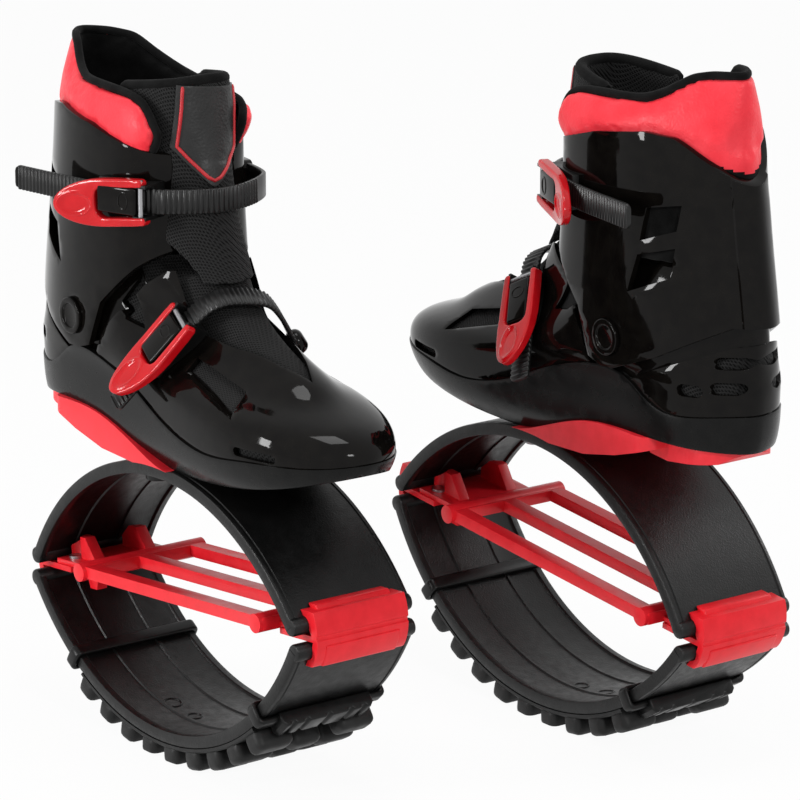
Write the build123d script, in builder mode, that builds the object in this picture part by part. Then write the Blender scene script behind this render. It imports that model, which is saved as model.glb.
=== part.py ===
from build123d import *
from math import atan2, copysign, cos, degrees, radians, sin, sqrt
import os

os.makedirs("parts", exist_ok=True)

# A pair of rebound shoes: each boot stands on a lens of two curved plastic arches,
# held together at heel and toe by clamps and by three elastic bars across the middle.
# Millimetres, +Z up. The right shoe points along +X with its buckles on -Y, and the
# origin is on the ground under the flat of its tread. The left shoe is its mirror
# image, pointing along -X, and stands beside it.

# Standing places of the two shoes
left_shoe_x = 74.0
left_shoe_y = 214.0

# Loop of two arches, in its own plane, which leans back on its heel
loop_lean = 5.3
clamp_height = 98.5
arch_width = 81.0
arch_radius = 160.0
arch_wall = 6.0
upper_rise = 77.0
lower_drop = 88.0
upper_end_rise = 3.0
lower_end_drop = 11.0
arch_rim_width = 5.0
arch_rim_depth = 1.6
bead_radius = 5.0

# Fits and gaps
seat_gap = 0.1
part_gap = 0.3
body_gap = 0.4
overrun = 1.0

# Tread of the lower arch
tread_skin = 2.6
lug_depth = 13.6
lug_width = 15.5
lug_corner = 5.0
lug_count = 9
lug_pitch = 7.8
edge_lug_length = 25.0
middle_lug_length = 20.0
tread_skin_sweep = 67.0

# Rubber bands round the lower arch
band_angle = 37.0
band_width = 8.0
band_thickness = 4.0
band_inner_thickness = 3.0
band_pad_depth = 9.0
band_pad_length = 62.0
band_pad_width = 14.0
pad_notch_width = 3.0
pad_notch_depth = 2.0
pad_notch_pitch = 9.0
pad_notch_count = 5

# Clamps at the two ends of the loop
clamp_width = 62.0
clamp_wall = 5.0
clamp_grip = 20.0
clamp_nose = 147.0
clamp_nose_drop = 3.0
clamp_web_top = 2.3
clamp_web_bottom = 5.7
clamp_web_reach = 108.0
clamp_groove = 3.0

# Spring frame between the clamps
spring_width = 82.0
spring_bar_width = 9.0
spring_bar_height = 7.0
spring_tail_height = 3.0
fin_end_boss = 79.0
far_end_boss = 102.0
spring_tail_width = 60.0
spring_tail_end = 124.0
boss_radius = 5.5
boss_length = 2.5
fin_thickness = 7.0
fin_rise = 14.0
fin_drop = 16.0
fin_spread = 18.0
fin_peak_x = 113.0
fin_outer_x = 121.0
fin_foot_x = 92.0
fin_top_length = 8.0
down_fin_x = 99.0
down_fin_foot = 16.0
down_fin_tip = 7.0

# Screws through clamp and spring frame
clamp_screw_radius = 2.5
clamp_screw_head_radius = 4.5
clamp_screw_head = 1.6
clamp_screw_spread = 22.0
clamp_screw_x = 115.0
screw_fit = 0.1

# Boot: the box that its side-view outlines are shares of
heel_x = -154.0
boot_length = 304.0
boot_base = 170.0
boot_height = 243.0
foot_height = 126.0
foot_half_width = 47.5
shell_wall = 3.5
shell_roof = 1.6
sole_proud = 1.0

# Liner, insole and leg space
liner_gap = 0.3
liner_wall = 6.5
liner_roof = 7.0
insole_thickness = 4.0
liner_floor = 4.0

# Ankle joint and the drum that cuff and shell share
ankle_x = -73.7
ankle_z = 249.4
drum_radius = 76.0
drum_half_width = 42.3
rivet_radius = 10.5
rivet_head = 3.0
rivet_shank = 4.0
rivet_fit = 0.05
rivet_dish = 1.2
rivet_dish_radius = 7.0

# Cuff
cuff_half_width = 46.5
cuff_wall = 3.6
cuff_squareness = 3.4
heel_squareness = 1.6
cuff_gap_half = 20.0
spine_half_width = 13.0
spine_proud = 1.6

# Collar and tongue
leg_wall = 8.0
collar_gap = 0.9
tongue_half_width = 31.0
tongue_wall = 7.0
tongue_squareness = 2.0
tongue_half_span = 30.0
collar_gap_half = 25.0

# Wedge under the heel
wedge_half_width = 44.0
heel_plate_half_width = 28.0
heel_plate_corner = 25.0
wedge_corner = 10.0

# Bolts through arch and wedge into the sole
bolt_radius = 3.0
bolt_head_radius = 5.5
bolt_head_height = 3.5
bolt_boss_radius = 8.5
bolt_boss_drop = 5.0
bolt_front_x = 24.0
bolt_back_x = -26.0
bolt_front_top = 188.0
bolt_back_top = 196.0
bolt_spread = 20.0
bolt_fit = 0.15
bolt_socket_radius = 2.4
bolt_socket_depth = 2.0

# Buckles, seen from the pivot towards the lever's tip and outwards from the base
lever_length = 60.0
lever_heel = 5.0
lever_heel_gap = 2.2
lever_width = 26.0
lever_height = 10.2
lever_skin = 2.6
lever_side = 2.6
lever_under = 3.4
lever_heel_cut = 1.8
lever_tip_width = 12.0
lever_tip_rise = 3.5
lever_tip_start = 38.0
pocket_end = 44.0
window_length = 24.0
window_start = 6.0
window_width = 13.0
base_length = 38.0
base_width = 20.0
base_floor = 1.5
base_cheek = 1.8
base_cheek_half = 4.5
base_foot = 14.0
pin_radius = 1.5
pin_fit = 0.06
pin_height = 7.8
cheek_swing = 8.0
button_length = 17.0
button_width = 12.4
button_bottom = 5.4
button_top = 10.6
button_oval_length = 8.0
button_oval_width = 5.0
button_oval_depth = 0.7

# Straps
strap_thickness = 2.0
strap_width = 14.0
strap_rib = 0.6
strap_rib_pitch = 3.0
strap_rib_width = 1.6
strap_rib_count = 13
anchor_length = 26.0
anchor_width = 22.0
anchor_thickness = 2.6
anchor_depth = 12.0
anchor_screw_radius = 5.0
anchor_screw_height = 1.4
anchor_screw_dish = 0.7

# Cuff buckle place and strap route, in plan
cuff_buckle_x = -11.0
cuff_buckle_y = -34.5
cuff_buckle_z = 323.5
cuff_buckle_turn = 20.0
cuff_strap_bend = 38.0
cuff_strap_tail_x = -108.0
cuff_strap_tail_y = -60.5
cuff_strap_nose_x = 13.0
cuff_strap_medial_x = -12.0
cuff_strap_medial_y = 44.5
cuff_strap_end_x = -44.0
cuff_strap_end_y = 49.8

# Instep buckle: pivot foot, lever tip and the strap's far end over the instep
instep_pivot_x = 18.5
instep_pivot_y = -27.7
instep_pivot_z = 259.7
instep_tip_x = -9.3
instep_tip_y = -55.1
instep_tip_z = 214.2
instep_knob_x = 25.5
instep_knob_y = 41.0
instep_knob_z = 243.0
instep_strap_tail = 64.0
instep_crest_run = 9.0
instep_crest_rise = 27.0
instep_far_run = 40.0
instep_far_rise = 29.0
instep_bend_run = 62.0
instep_bend_rise = 12.0
instep_end_run = 74.0
instep_end_rise = -5.0
instep_strap_round = 8.0

# Shares along and up the boot's box
sole_line_shares = (
    (1.01, 0.119), (0.918, 0.0844), (0.822, 0.0576), (0.681, 0.0329), (0.605, 0.0267),
    (0.546, 0.0259), (0.48, 0.0473), (0.342, 0.1008), (0.194, 0.107), (-0.02, 0.086),
)
swoop_line_shares = (
    (1.02, 0.144), (0.931, 0.132), (0.826, 0.1255), (0.707, 0.111), (0.632, 0.1214),
    (0.556, 0.148), (0.444, 0.206), (0.355, 0.239), (0.296, 0.251), (0.23, 0.239),
    (0.178, 0.1975), (0.128, 0.173), (0.069, 0.173), (-0.02, 0.177),
)
floor_line_shares = ((1.02, 0.136), (0.9, 0.118), (0.67, 0.09), (0.34, 0.14), (-0.02, 0.136))
wedge_shares = (
    (0.565, 0.03), (0.546, 0.012), (0.342, 0.02), (0.25, 0.043), (0.165, 0.075),
    (0.165, 0.13), (0.565, 0.13),
)
heel_plate_shares = ((0.21, 0.05), (0.16, 0.044), (0.05, 0.06), (0.03, 0.078), (0.03, 0.13), (0.21, 0.13))
cuff_zone_shares = (
    (-0.05, 0.352), (0.026, 0.34), (0.151, 0.274), (0.217, 0.236), (0.266, 0.224),
    (0.326, 0.245), (0.355, 0.313), (0.395, 0.37), (0.447, 0.436), (0.5, 0.48),
    (0.62, 0.49), (0.62, 1.05), (-0.05, 1.05),
)
cuff_outline_shares = (
    (-0.03, 0.387), (0.026, 0.387), (0.151, 0.302), (0.25, 0.254), (0.28, 0.254),
    (0.319, 0.268), (0.355, 0.379), (0.44, 0.477), (0.5, 0.535), (0.5, 0.728), (0.475, 0.745),
    (0.319, 0.798), (0.2, 0.819), (0.141, 0.811), (0.076, 0.782), (0.026, 0.741), (-0.03, 0.741),
)
cuff_window_shares = (
    ((0.184, 0.646), (0.194, 0.568), (0.125, 0.6), (0.12, 0.66)),
    ((0.197, 0.535), (0.217, 0.444), (0.13, 0.49), (0.125, 0.56)),
)
collar_outline_shares = (
    (-0.05, 0.76), (-0.05, 1.0), (0.043, 1.0), (0.118, 0.982), (0.17, 0.94), (0.22, 0.885),
    (0.27, 0.864), (0.36, 0.858), (0.464, 0.846), (0.53, 0.808), (0.5, 0.74), (0.475, 0.7), (0.475, 0.5),
)
tongue_outline_shares = (
    (0.36, 0.58), (0.48, 0.545), (0.6, 0.53), (0.6, 0.93), (0.5, 0.925), (0.42, 0.905), (0.36, 0.89),
)
opening_plan_shares = (
    (0.826, 0.0), (0.77, 0.17), (0.67, 0.38), (0.57, 0.52), (0.46, 0.56), (0.3, 0.56),
)
opening_height_share = 0.16
shell_window_shares = (
    ((0.599, 0.3), (0.594, 0.267), (0.773, 0.21), (0.75, 0.259)),
    ((0.408, 0.449), (0.461, 0.337), (0.41, 0.35), (0.375, 0.38)),
)
heel_oval_shares = ((0.085, 0.235), (0.03, 0.303), (0.03, 0.245))
heel_oval_length = 14.0
heel_oval_height = 7.0
toe_oval_share = (0.84, 0.145)
toe_oval_length = 30.0
toe_oval_height = 5.0

# Plan levels of the foot: height, back, nose, half width, and how much it is an ankle
foot_level_shares = (
    (0.0, 0.066, 0.895, 0.78, 0.0), (0.119, 0.023, 0.96, 0.916, 0.0),
    (0.238, 0.003, 1.0, 0.99, 0.0), (0.333, 0.0, 0.997, 1.0, 0.0),
    (0.429, 0.0, 0.928, 0.99, 0.15), (0.524, 0.005, 0.84, 0.95, 0.75),
    (0.635, 0.01, 0.745, 0.885, 1.0), (0.762, 0.016, 0.64, 0.87, 0.75),
    (0.889, 0.026, 0.575, 0.863, 0.45), (1.0, 0.036, 0.545, 0.842, 0.4),
    (1.06, 0.038, 0.53, 0.842, 0.4),
)
foot_plan_shares = (
    (0.03, 0.42, 0.40), (0.10, 0.72, 0.71), (0.22, 0.86, 0.92), (0.38, 0.90, 1.0), (0.54, 0.95, 1.0),
    (0.69, 1.0, 0.76), (0.82, 0.94, 0.56), (0.92, 0.72, 0.40), (0.98, 0.38, 0.22),
)
# Plan levels of the leg: height up the box, back, front and half width
cuff_level_shares = (
    (0.2, -0.01, 0.5, 1.0), (0.391, -0.0066, 0.497, 1.0), (0.535, 0.013, 0.487, 0.98),
    (0.679, 0.03, 0.483, 0.957), (0.823, 0.039, 0.487, 0.935), (1.05, 0.045, 0.49, 0.925),
)
collar_level_shares = (
    *cuff_level_shares[1:4], (0.8, 0.038, 0.487, 0.936), (0.83, 0.039, 0.49, 0.935),
    (0.875, 0.031, 0.52, 0.903), (1.02, 0.04, 0.54, 0.742),
)
# Outline of the drum from its axis outwards: shares of its radius and of its half width
drum_shares = ((0.24, 0.955), (0.4, 0.875), (0.526, 0.79), (0.74, 0.585), (0.92, 0.3), (1.0, 0.0))
tongue_level_shares = (
    (0.45, 0.12, 0.57, 1.0), (0.63, 0.12, 0.541, 1.0), (0.74, 0.12, 0.523, 1.0), (0.95, 0.12, 0.498, 1.05),
)
leg_outline_points = 20

loop_side = Plane(
    origin=(0, 0, clamp_height),
    x_dir=(cos(radians(loop_lean)), 0, sin(radians(loop_lean))),
    z_dir=(0, -1, 0),
)
upper_centre = upper_rise - arch_radius
lower_centre = arch_radius - lower_drop
arch_middle = arch_radius - arch_wall / 2
upper_end_x = sqrt(arch_middle**2 - (upper_end_rise - upper_centre) ** 2)
lower_end_x = sqrt(arch_middle**2 - (lower_centre + lower_end_drop) ** 2)
upper_end_angle = degrees(atan2(upper_end_rise - upper_centre, upper_end_x))
lower_end_angle = degrees(atan2(lower_centre + lower_end_drop, lower_end_x))
ankle_side = Plane(origin=(ankle_x, 0, ankle_z), x_dir=(1, 0, 0), z_dir=(0, -1, 0))
drum_section = Plane(origin=ankle_side.origin, x_dir=(1, 0, 0), z_dir=(0, 0, 1))


def arc_band(centre, inner, outer, start, sweep):
    """Flat band between two arcs about a centre on the loop's middle line."""
    with BuildSketch() as band:
        with BuildLine():
            far = CenterArc((0, centre), outer, start, sweep)
            near = CenterArc((0, centre), inner, start, sweep)
            Line(far @ 0, near @ 0)
            Line(far @ 1, near @ 1)
        make_face()
    return band.sketch


def upper_band(inner, outer):
    """Band of the upper arch between two radii, from clamp to clamp."""
    return arc_band(upper_centre, inner, outer, upper_end_angle, 180 - 2 * upper_end_angle)


def lower_band(inner, outer):
    """Band of the lower arch between two radii, from clamp to clamp."""
    return arc_band(lower_centre, inner, outer, 180 + lower_end_angle, 180 - 2 * lower_end_angle)


def arch(band, end_x, end_y):
    """One curved arch with raised rims along both edges and a bead at each end."""
    with BuildPart() as piece:
        with BuildSketch(loop_side):
            add(band(arch_radius - arch_wall, arch_radius))
            with Locations((-end_x, end_y), (end_x, end_y)):
                Circle(bead_radius)
        extrude(amount=arch_width / 2, both=True)
        for edge in (-1, 1):
            with BuildSketch(loop_side.offset(edge * (arch_width - arch_rim_width) / 2)):
                add(band(arch_radius - arch_wall - arch_rim_depth, arch_radius - arch_wall))
            extrude(amount=arch_rim_width / 2, both=True)
    return piece.part


def lower_arch():
    """Lower arch, which carries the tread."""
    return arch(lower_band, lower_end_x, -lower_end_drop)


def arch_under(x):
    """Height of the upper arch's outer face above the ground, at x."""
    centre = loop_side.from_local_coords((0, upper_centre, 0))
    return centre.Z + sqrt(arch_radius**2 - (x - centre.X) ** 2)


def bolt_stations():
    """Front and back bolt places: x, tip height and height under the arch's boss."""
    rows = ((bolt_front_x, bolt_front_top), (bolt_back_x, bolt_back_top))
    return [(x, top, arch_under(x) - arch_wall - bolt_boss_drop) for x, top in rows]


def bolt_cylinders(radius, lower, upper, x):
    """A pair of upright cylinders at one bolt station."""
    with BuildPart() as pair:
        with BuildSketch(Plane.XY.offset(lower)):
            with Locations((x, -bolt_spread), (x, bolt_spread)):
                Circle(radius)
        extrude(amount=upper - lower)
    return pair.part


def upper_arch():
    """Upper arch, with a boss under each bolt."""
    with BuildPart() as piece:
        add(arch(upper_band, upper_end_x, upper_end_rise))
        for x, top, under in bolt_stations():
            add(bolt_cylinders(bolt_boss_radius, under, arch_under(x) - arch_wall / 2, x))
        for x, top, under in bolt_stations():
            add(bolt_cylinders(bolt_radius + bolt_fit, under - overrun, top, x), mode=Mode.SUBTRACT)
    return piece.part


def mounting_bolts():
    """Four socket-head bolts that hold the boot on the upper arch."""
    with BuildPart() as piece:
        for x, top, under in bolt_stations():
            add(bolt_cylinders(bolt_radius, under, top, x))
            add(bolt_cylinders(bolt_head_radius, under - bolt_head_height, under, x))
            socket_top = under - bolt_head_height + bolt_socket_depth
            add(
                bolt_cylinders(bolt_socket_radius, under - bolt_head_height, socket_top, x),
                mode=Mode.SUBTRACT,
            )
    return piece.part


def bolt_holes(clearance):
    """Clearance holes for the bolts, up to a little above their tips."""
    with BuildPart() as holes:
        for x, top, under in bolt_stations():
            add(bolt_cylinders(bolt_radius + bolt_fit, under, top + clearance, x))
    return holes.part


def tread():
    """Rubber skin with rows of rounded lugs, worn flat where it stands."""
    skin_radius = arch_radius + seat_gap
    lug_radius = (skin_radius + arch_radius + lug_depth) / 2
    lug_height = arch_radius + lug_depth - skin_radius
    span = lug_pitch * (lug_count - 1)
    rows = (
        ((edge_lug_length - arch_width) / 2, edge_lug_length, lug_count, span),
        (0, middle_lug_length, lug_count - 1, span - lug_pitch),
        ((arch_width - edge_lug_length) / 2, edge_lug_length, lug_count, span),
    )
    with BuildPart() as piece:
        with BuildSketch(loop_side):
            start = 270 - tread_skin_sweep / 2
            add(arc_band(lower_centre, skin_radius, arch_radius + tread_skin, start, tread_skin_sweep))
        extrude(amount=arch_width / 2, both=True)
        for offset_y, length, count, sweep in rows:
            with BuildSketch(loop_side.offset(offset_y)):
                with Locations((0, lower_centre)):
                    with PolarLocations(lug_radius, count, 270 - sweep / 2, sweep, endpoint=True):
                        RectangleRounded(lug_height, lug_width, lug_corner)
            extrude(amount=length / 2, both=True)
        with BuildSketch(loop_side):
            with Locations((0, lower_centre)):
                Circle(skin_radius)
        extrude(amount=arch_width, both=True, mode=Mode.SUBTRACT)
        split(bisect_by=Plane.XY, keep=Keep.TOP)
    return piece.part


def band_plane(angle):
    """Plane across the lower arch at an angle from its bottom: X across, Y outwards."""
    spot = loop_side.from_local_coords(
        (arch_radius * sin(radians(angle)), lower_centre - arch_radius * cos(radians(angle)), 0)
    )
    centre = loop_side.from_local_coords((0, lower_centre, 0))
    outward = (spot - centre).normalized()
    return Plane(origin=spot, x_dir=(0, 1, 0), z_dir=Vector(0, 1, 0).cross(outward))


def tread_bands():
    """Two rubber bands stretched round the lower arch, each with a notched pad outside."""
    hole_depth = arch_wall + arch_rim_depth + 2 * seat_gap
    outer_width = arch_width + 2 * (seat_gap + band_inner_thickness)
    with BuildPart() as piece:
        for angle in (-band_angle, band_angle):
            with BuildSketch(band_plane(angle)):
                with Locations((0, seat_gap - hole_depth - band_inner_thickness)):
                    Rectangle(
                        outer_width,
                        hole_depth + band_inner_thickness + band_thickness,
                        align=(Align.CENTER, Align.MIN),
                    )
                with Locations((0, seat_gap - hole_depth)):
                    Rectangle(
                        arch_width + 2 * seat_gap,
                        hole_depth + seat_gap,
                        align=(Align.CENTER, Align.MIN),
                        mode=Mode.SUBTRACT,
                    )
            extrude(amount=band_width / 2, both=True)
            with BuildSketch(band_plane(angle)):
                with Locations((0, part_gap)):
                    Rectangle(band_pad_length, band_pad_depth, align=(Align.CENTER, Align.MIN))
                with Locations((0, part_gap + band_pad_depth - pad_notch_depth / 2)):
                    with GridLocations(pad_notch_pitch, 0, pad_notch_count, 1):
                        Rectangle(pad_notch_width, pad_notch_depth, mode=Mode.SUBTRACT)
            extrude(amount=band_pad_width / 2, both=True)
    return piece.part


def loop_inside(gap):
    """Lens between the two arches' outer faces, a gap wider than they are."""
    with BuildSketch() as lens:
        with Locations((0, upper_centre)):
            Circle(arch_radius + gap)
        with Locations((0, lower_centre)):
            Circle(arch_radius + gap, mode=Mode.INTERSECT)
    return lens.sketch


def screw_plane():
    """Plane of the loop's bars, seen from above, along the loop's lean."""
    return Plane(origin=loop_side.origin, x_dir=loop_side.x_dir, z_dir=loop_side.y_dir)


def clamp_screw_places(ends):
    """Screw places in the bars' plane, for the named ends."""
    return [
        (end * clamp_screw_x, side * clamp_screw_spread) for end in ends for side in (-1, 1)
    ]


def clamp(end):
    """C-shaped clamp over the beads at one end of the loop; end is 1 at the toe."""
    upper_arm_x = sqrt((arch_radius + clamp_wall) ** 2 - (clamp_grip - upper_centre) ** 2)
    lower_arm_x = sqrt((arch_radius + clamp_wall) ** 2 - (clamp_grip + lower_centre) ** 2)
    web_height = clamp_web_bottom - clamp_web_top
    with BuildPart() as piece:
        with BuildSketch(loop_side):
            with BuildLine():
                ThreePointArc(
                    (end * upper_arm_x, clamp_grip),
                    (end * clamp_nose, -clamp_nose_drop),
                    (end * lower_arm_x, -clamp_grip),
                )
                Line((end * upper_arm_x, clamp_grip), (end * clamp_web_reach, clamp_grip))
                Line((end * clamp_web_reach, clamp_grip), (end * clamp_web_reach, -clamp_grip))
                Line((end * clamp_web_reach, -clamp_grip), (end * lower_arm_x, -clamp_grip))
            make_face()
            add(loop_inside(seat_gap), mode=Mode.SUBTRACT)
            web_length = clamp_nose - clamp_web_reach - clamp_groove
            with Locations((end * (clamp_web_reach + web_length / 2), -clamp_web_top - web_height / 2)):
                Rectangle(web_length, web_height)
            with Locations((end * upper_end_x, upper_end_rise), (end * lower_end_x, -lower_end_drop)):
                Circle(bead_radius + part_gap, mode=Mode.SUBTRACT)
            with Locations((end * clamp_nose, -clamp_nose_drop)):
                Circle(clamp_groove / 2, mode=Mode.SUBTRACT)
        extrude(amount=clamp_width / 2, both=True)
        with BuildSketch(screw_plane()):
            with Locations(*clamp_screw_places([end])):
                Circle(clamp_screw_radius + screw_fit)
        extrude(amount=clamp_grip, both=True, mode=Mode.SUBTRACT)
    return piece.part


def spring_bars(fin_end):
    """Three elastic bars in one frame, with a finned plate at one end."""
    bar_y = (spring_width - spring_bar_width) / 2
    far_end = -fin_end
    middle_x = (far_end * far_end_boss + fin_end * fin_end_boss) / 2
    length = fin_end_boss + far_end_boss
    tail_middle = spring_tail_height / 2 - clamp_web_top + seat_gap
    bar_middle = spring_bar_height / 2 - clamp_web_top + seat_gap
    tails = ((fin_end, fin_end_boss), (far_end, far_end_boss))
    with BuildPart() as piece:
        for y in (-bar_y, 0, bar_y):
            with BuildSketch(loop_side.offset(-y)):
                with Locations((middle_x, bar_middle)):
                    Rectangle(length, spring_bar_height)
            extrude(amount=spring_bar_width / 2, both=True)
        for end, boss in tails:
            with BuildSketch(loop_side):
                with Locations((end * boss, bar_middle)):
                    Rectangle(2 * boss_radius, spring_bar_height)
            extrude(amount=spring_width / 2, both=True)
            with BuildSketch(loop_side):
                with Locations((end * boss, bar_middle)):
                    Circle(boss_radius)
            extrude(amount=spring_width / 2 + boss_length, both=True)
            with BuildSketch(loop_side):
                with Locations((end * (boss + spring_tail_end) / 2, tail_middle)):
                    Rectangle(spring_tail_end - boss, spring_tail_height)
            extrude(amount=spring_tail_width / 2, both=True)
        foot = seat_gap - clamp_web_top
        for y in (-fin_spread, fin_spread):
            with BuildSketch(loop_side.offset(-y)):
                with BuildLine():
                    Polyline(
                        (fin_end * fin_foot_x, foot),
                        (fin_end * (fin_peak_x - fin_top_length), fin_rise),
                        (fin_end * fin_peak_x, fin_rise),
                        (fin_end * fin_outer_x, fin_rise / 2),
                        (fin_end * fin_outer_x, foot),
                        close=True,
                    )
                make_face()
            extrude(amount=fin_thickness / 2, both=True)
        with BuildSketch(loop_side.offset(fin_spread)):
            with BuildLine():
                Polyline(
                    (fin_end * (down_fin_x - down_fin_foot / 2), foot),
                    (fin_end * (down_fin_x - down_fin_tip / 2), -fin_drop),
                    (fin_end * (down_fin_x + down_fin_tip / 2), -fin_drop),
                    (fin_end * (down_fin_x + down_fin_foot / 2), foot),
                    close=True,
                )
            make_face()
        extrude(amount=fin_thickness / 2, both=True)
        with BuildSketch(screw_plane()):
            with Locations(*clamp_screw_places([-1, 1])):
                Circle(clamp_screw_radius + screw_fit)
        extrude(amount=spring_bar_height, both=True, mode=Mode.SUBTRACT)
        with BuildSketch(screw_plane().offset(foot + spring_tail_height)):
            with Locations(*clamp_screw_places([-1, 1])):
                Circle(clamp_screw_head_radius + part_gap)
        extrude(amount=fin_rise, mode=Mode.SUBTRACT)
    return piece.part


def clamp_screws():
    """Four screws that fasten the spring frame's tails to the clamps."""
    head_seat = seat_gap - clamp_web_top + spring_tail_height
    with BuildPart() as piece:
        with BuildSketch(screw_plane().offset(-clamp_web_bottom)):
            with Locations(*clamp_screw_places([-1, 1])):
                Circle(clamp_screw_radius)
        extrude(amount=head_seat + clamp_web_bottom)
        with BuildSketch(screw_plane().offset(head_seat)):
            with Locations(*clamp_screw_places([-1, 1])):
                Circle(clamp_screw_head_radius)
        extrude(amount=clamp_screw_head)
    return piece.part


def boot_spot(along, up):
    """Side-view place of a pair of shares of the boot's box."""
    return heel_x + along * boot_length, boot_base + up * boot_height


def side_face(shares):
    """Side-view face with straight edges through shares of the boot's box."""
    with BuildSketch(Plane.XZ) as face:
        with BuildLine():
            Polyline(*(boot_spot(*share) for share in shares), close=True)
        make_face()
    return face.sketch


def under_line(shares, drop=0.0):
    """Side-view face below a smooth line from toe to heel, lowered by drop."""
    points = [Vector(*boot_spot(*share)) - Vector(0, drop) for share in shares]
    low = boot_base - foot_height
    with BuildSketch(Plane.XZ) as face:
        with BuildLine():
            Spline(*points)
            Polyline(points[-1], (points[-1].X, low), (points[0].X, low), points[0])
        make_face()
    return face.sketch


def foot_outline(back_share, nose_share, width_share, blend_share, grow):
    """Points round the foot at one level."""
    back = heel_x + back_share * boot_length
    length = (nose_share - back_share) * boot_length
    side = [
        (
            back + along * length,
            foot_half_width * width_share * (foot + (ankle - foot) * blend_share) + grow,
        )
        for along, foot, ankle in foot_plan_shares
    ]
    other = [(x, -y) for x, y in reversed(side)]
    return [(back - grow, 0), *side, (back + length + grow, 0), *other]


def foot_form(grow, sink=0.0):
    """Solid of the foot's shape, grown or shrunk sideways and let down by sink."""
    with BuildPart() as form:
        for up_share, back_share, nose_share, width_share, blend_share in foot_level_shares:
            with BuildSketch(Plane.XY.offset(boot_base + up_share * foot_height - sink)):
                with BuildLine():
                    Spline(
                        *foot_outline(back_share, nose_share, width_share, blend_share, grow),
                        periodic=True,
                    )
                make_face()
        loft()
    return form.part


def leg_outline(back, front, half, front_squareness, back_squareness):
    """Points round an oval between its back and front, squarer in front than behind."""
    middle = (back + front) / 2
    points = []
    for step in range(leg_outline_points):
        turn = radians(360 * step / leg_outline_points)
        squareness = front_squareness if cos(turn) > 0 else back_squareness
        x = copysign(abs(cos(turn)) ** (2 / squareness), cos(turn))
        y = copysign(abs(sin(turn)) ** (2 / squareness), sin(turn))
        points.append((middle + (front - back) / 2 * x, half * y))
    return points


def leg_form(level_shares, half_width, front_squareness, back_squareness, grow, straight=False):
    """Solid lofted through rounded ovals up the leg, straight or smooth between them."""
    with BuildPart() as form:
        for up_share, back_share, front_share, width_share in level_shares:
            back, height = boot_spot(back_share, up_share)
            front = heel_x + front_share * boot_length
            half = half_width * width_share + grow
            with BuildSketch(Plane.XY.offset(height)):
                with BuildLine():
                    Spline(
                        *leg_outline(back - grow, front + grow, half, front_squareness, back_squareness),
                        periodic=True,
                    )
                make_face()
        loft(ruled=straight)
    return form.part


def cuff_form(grow):
    """Outer shape of the cuff, grown or shrunk."""
    return leg_form(cuff_level_shares, cuff_half_width, cuff_squareness, heel_squareness, grow)


def drum(grow):
    """Rounded drum about the ankle axis, inside which the shell's ankle lies."""
    half_width = drum_half_width + grow
    side = [
        ((drum_radius + grow) * along, half_width * across) for along, across in drum_shares
    ]
    with BuildPart() as form:
        with BuildSketch(drum_section):
            with BuildLine():
                Spline((0, half_width), *side, tangents=[(1, 0), (0, -1)])
                Line((drum_radius + grow, 0), (0, 0))
                Line((0, 0), (0, half_width))
            make_face()
        revolve(axis=Axis(ankle_side.origin, ankle_side.z_dir))
        mirror(about=Plane.XZ)
    return form.part


def ankle_cut(depth):
    """Block that is cut from the ankle's outside, a wall's depth inside the cuff's zone and drum."""
    with BuildSketch(Plane.XZ) as zone:
        add(side_face(cuff_zone_shares))
        if depth > 0:
            offset(amount=depth, kind=Kind.INTERSECTION)
    return slab(zone.sketch, foot_half_width * 2) - drum(-depth)


def ankle_holes(radius):
    """Round bar through both ankle rivets."""
    with BuildPart() as bar:
        with BuildSketch(ankle_side):
            Circle(radius)
        extrude(amount=foot_half_width * 2, both=True)
    return bar.part


def slab(face, half_width):
    """Side-view face made solid across the boot."""
    with BuildPart() as block:
        extrude(face, amount=half_width, both=True)
    return block.part


def above(height):
    """Block of everything above a height."""
    with BuildPart() as block:
        with BuildSketch(Plane.XY.offset(height)):
            with Locations((heel_x + boot_length / 2, 0)):
                Rectangle(boot_length * 2, foot_half_width * 4)
        extrude(amount=boot_height)
    return block.part


def wedge_plate():
    """Wedge between the upper arch and the heel, with a round plate out to the back."""
    reach = foot_half_width * 2
    with BuildPart() as plate:
        extrude(side_face(heel_plate_shares), amount=heel_plate_half_width, both=True)
        fillet(plate.edges().filter_by(Axis.Z).group_by(Axis.X)[0], heel_plate_corner)
    with BuildPart() as piece:
        extrude(side_face(wedge_shares), amount=wedge_half_width, both=True)
        fillet(piece.edges().filter_by(Axis.Z).group_by(Axis.X)[0], wedge_corner)
        add(plate.part)
        with BuildSketch(loop_side):
            with Locations((0, upper_centre)):
                Circle(arch_radius + seat_gap)
        extrude(amount=reach, both=True, mode=Mode.SUBTRACT)
        extrude(under_line(sole_line_shares, seat_gap), amount=reach, both=True, mode=Mode.INTERSECT)
        add(bolt_holes(part_gap), mode=Mode.SUBTRACT)
    return piece.part


def sole_room():
    """Hollow of the sole, from its floor up."""
    with BuildPart() as room:
        add(foot_form(-shell_wall, shell_roof))
        extrude(under_line(floor_line_shares), amount=foot_half_width * 2, both=True, mode=Mode.SUBTRACT)
    return room.part


def sole_base():
    """Lower half of the hard boot: sole plate and low side walls."""
    reach = foot_half_width * 2
    with BuildPart() as piece:
        add(foot_form(sole_proud))
        extrude(under_line(swoop_line_shares), amount=reach, both=True, mode=Mode.INTERSECT)
        extrude(under_line(sole_line_shares), amount=reach, both=True, mode=Mode.SUBTRACT)
        add(sole_room(), mode=Mode.SUBTRACT)
        add(bolt_holes(part_gap), mode=Mode.SUBTRACT)
    return piece.part


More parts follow.
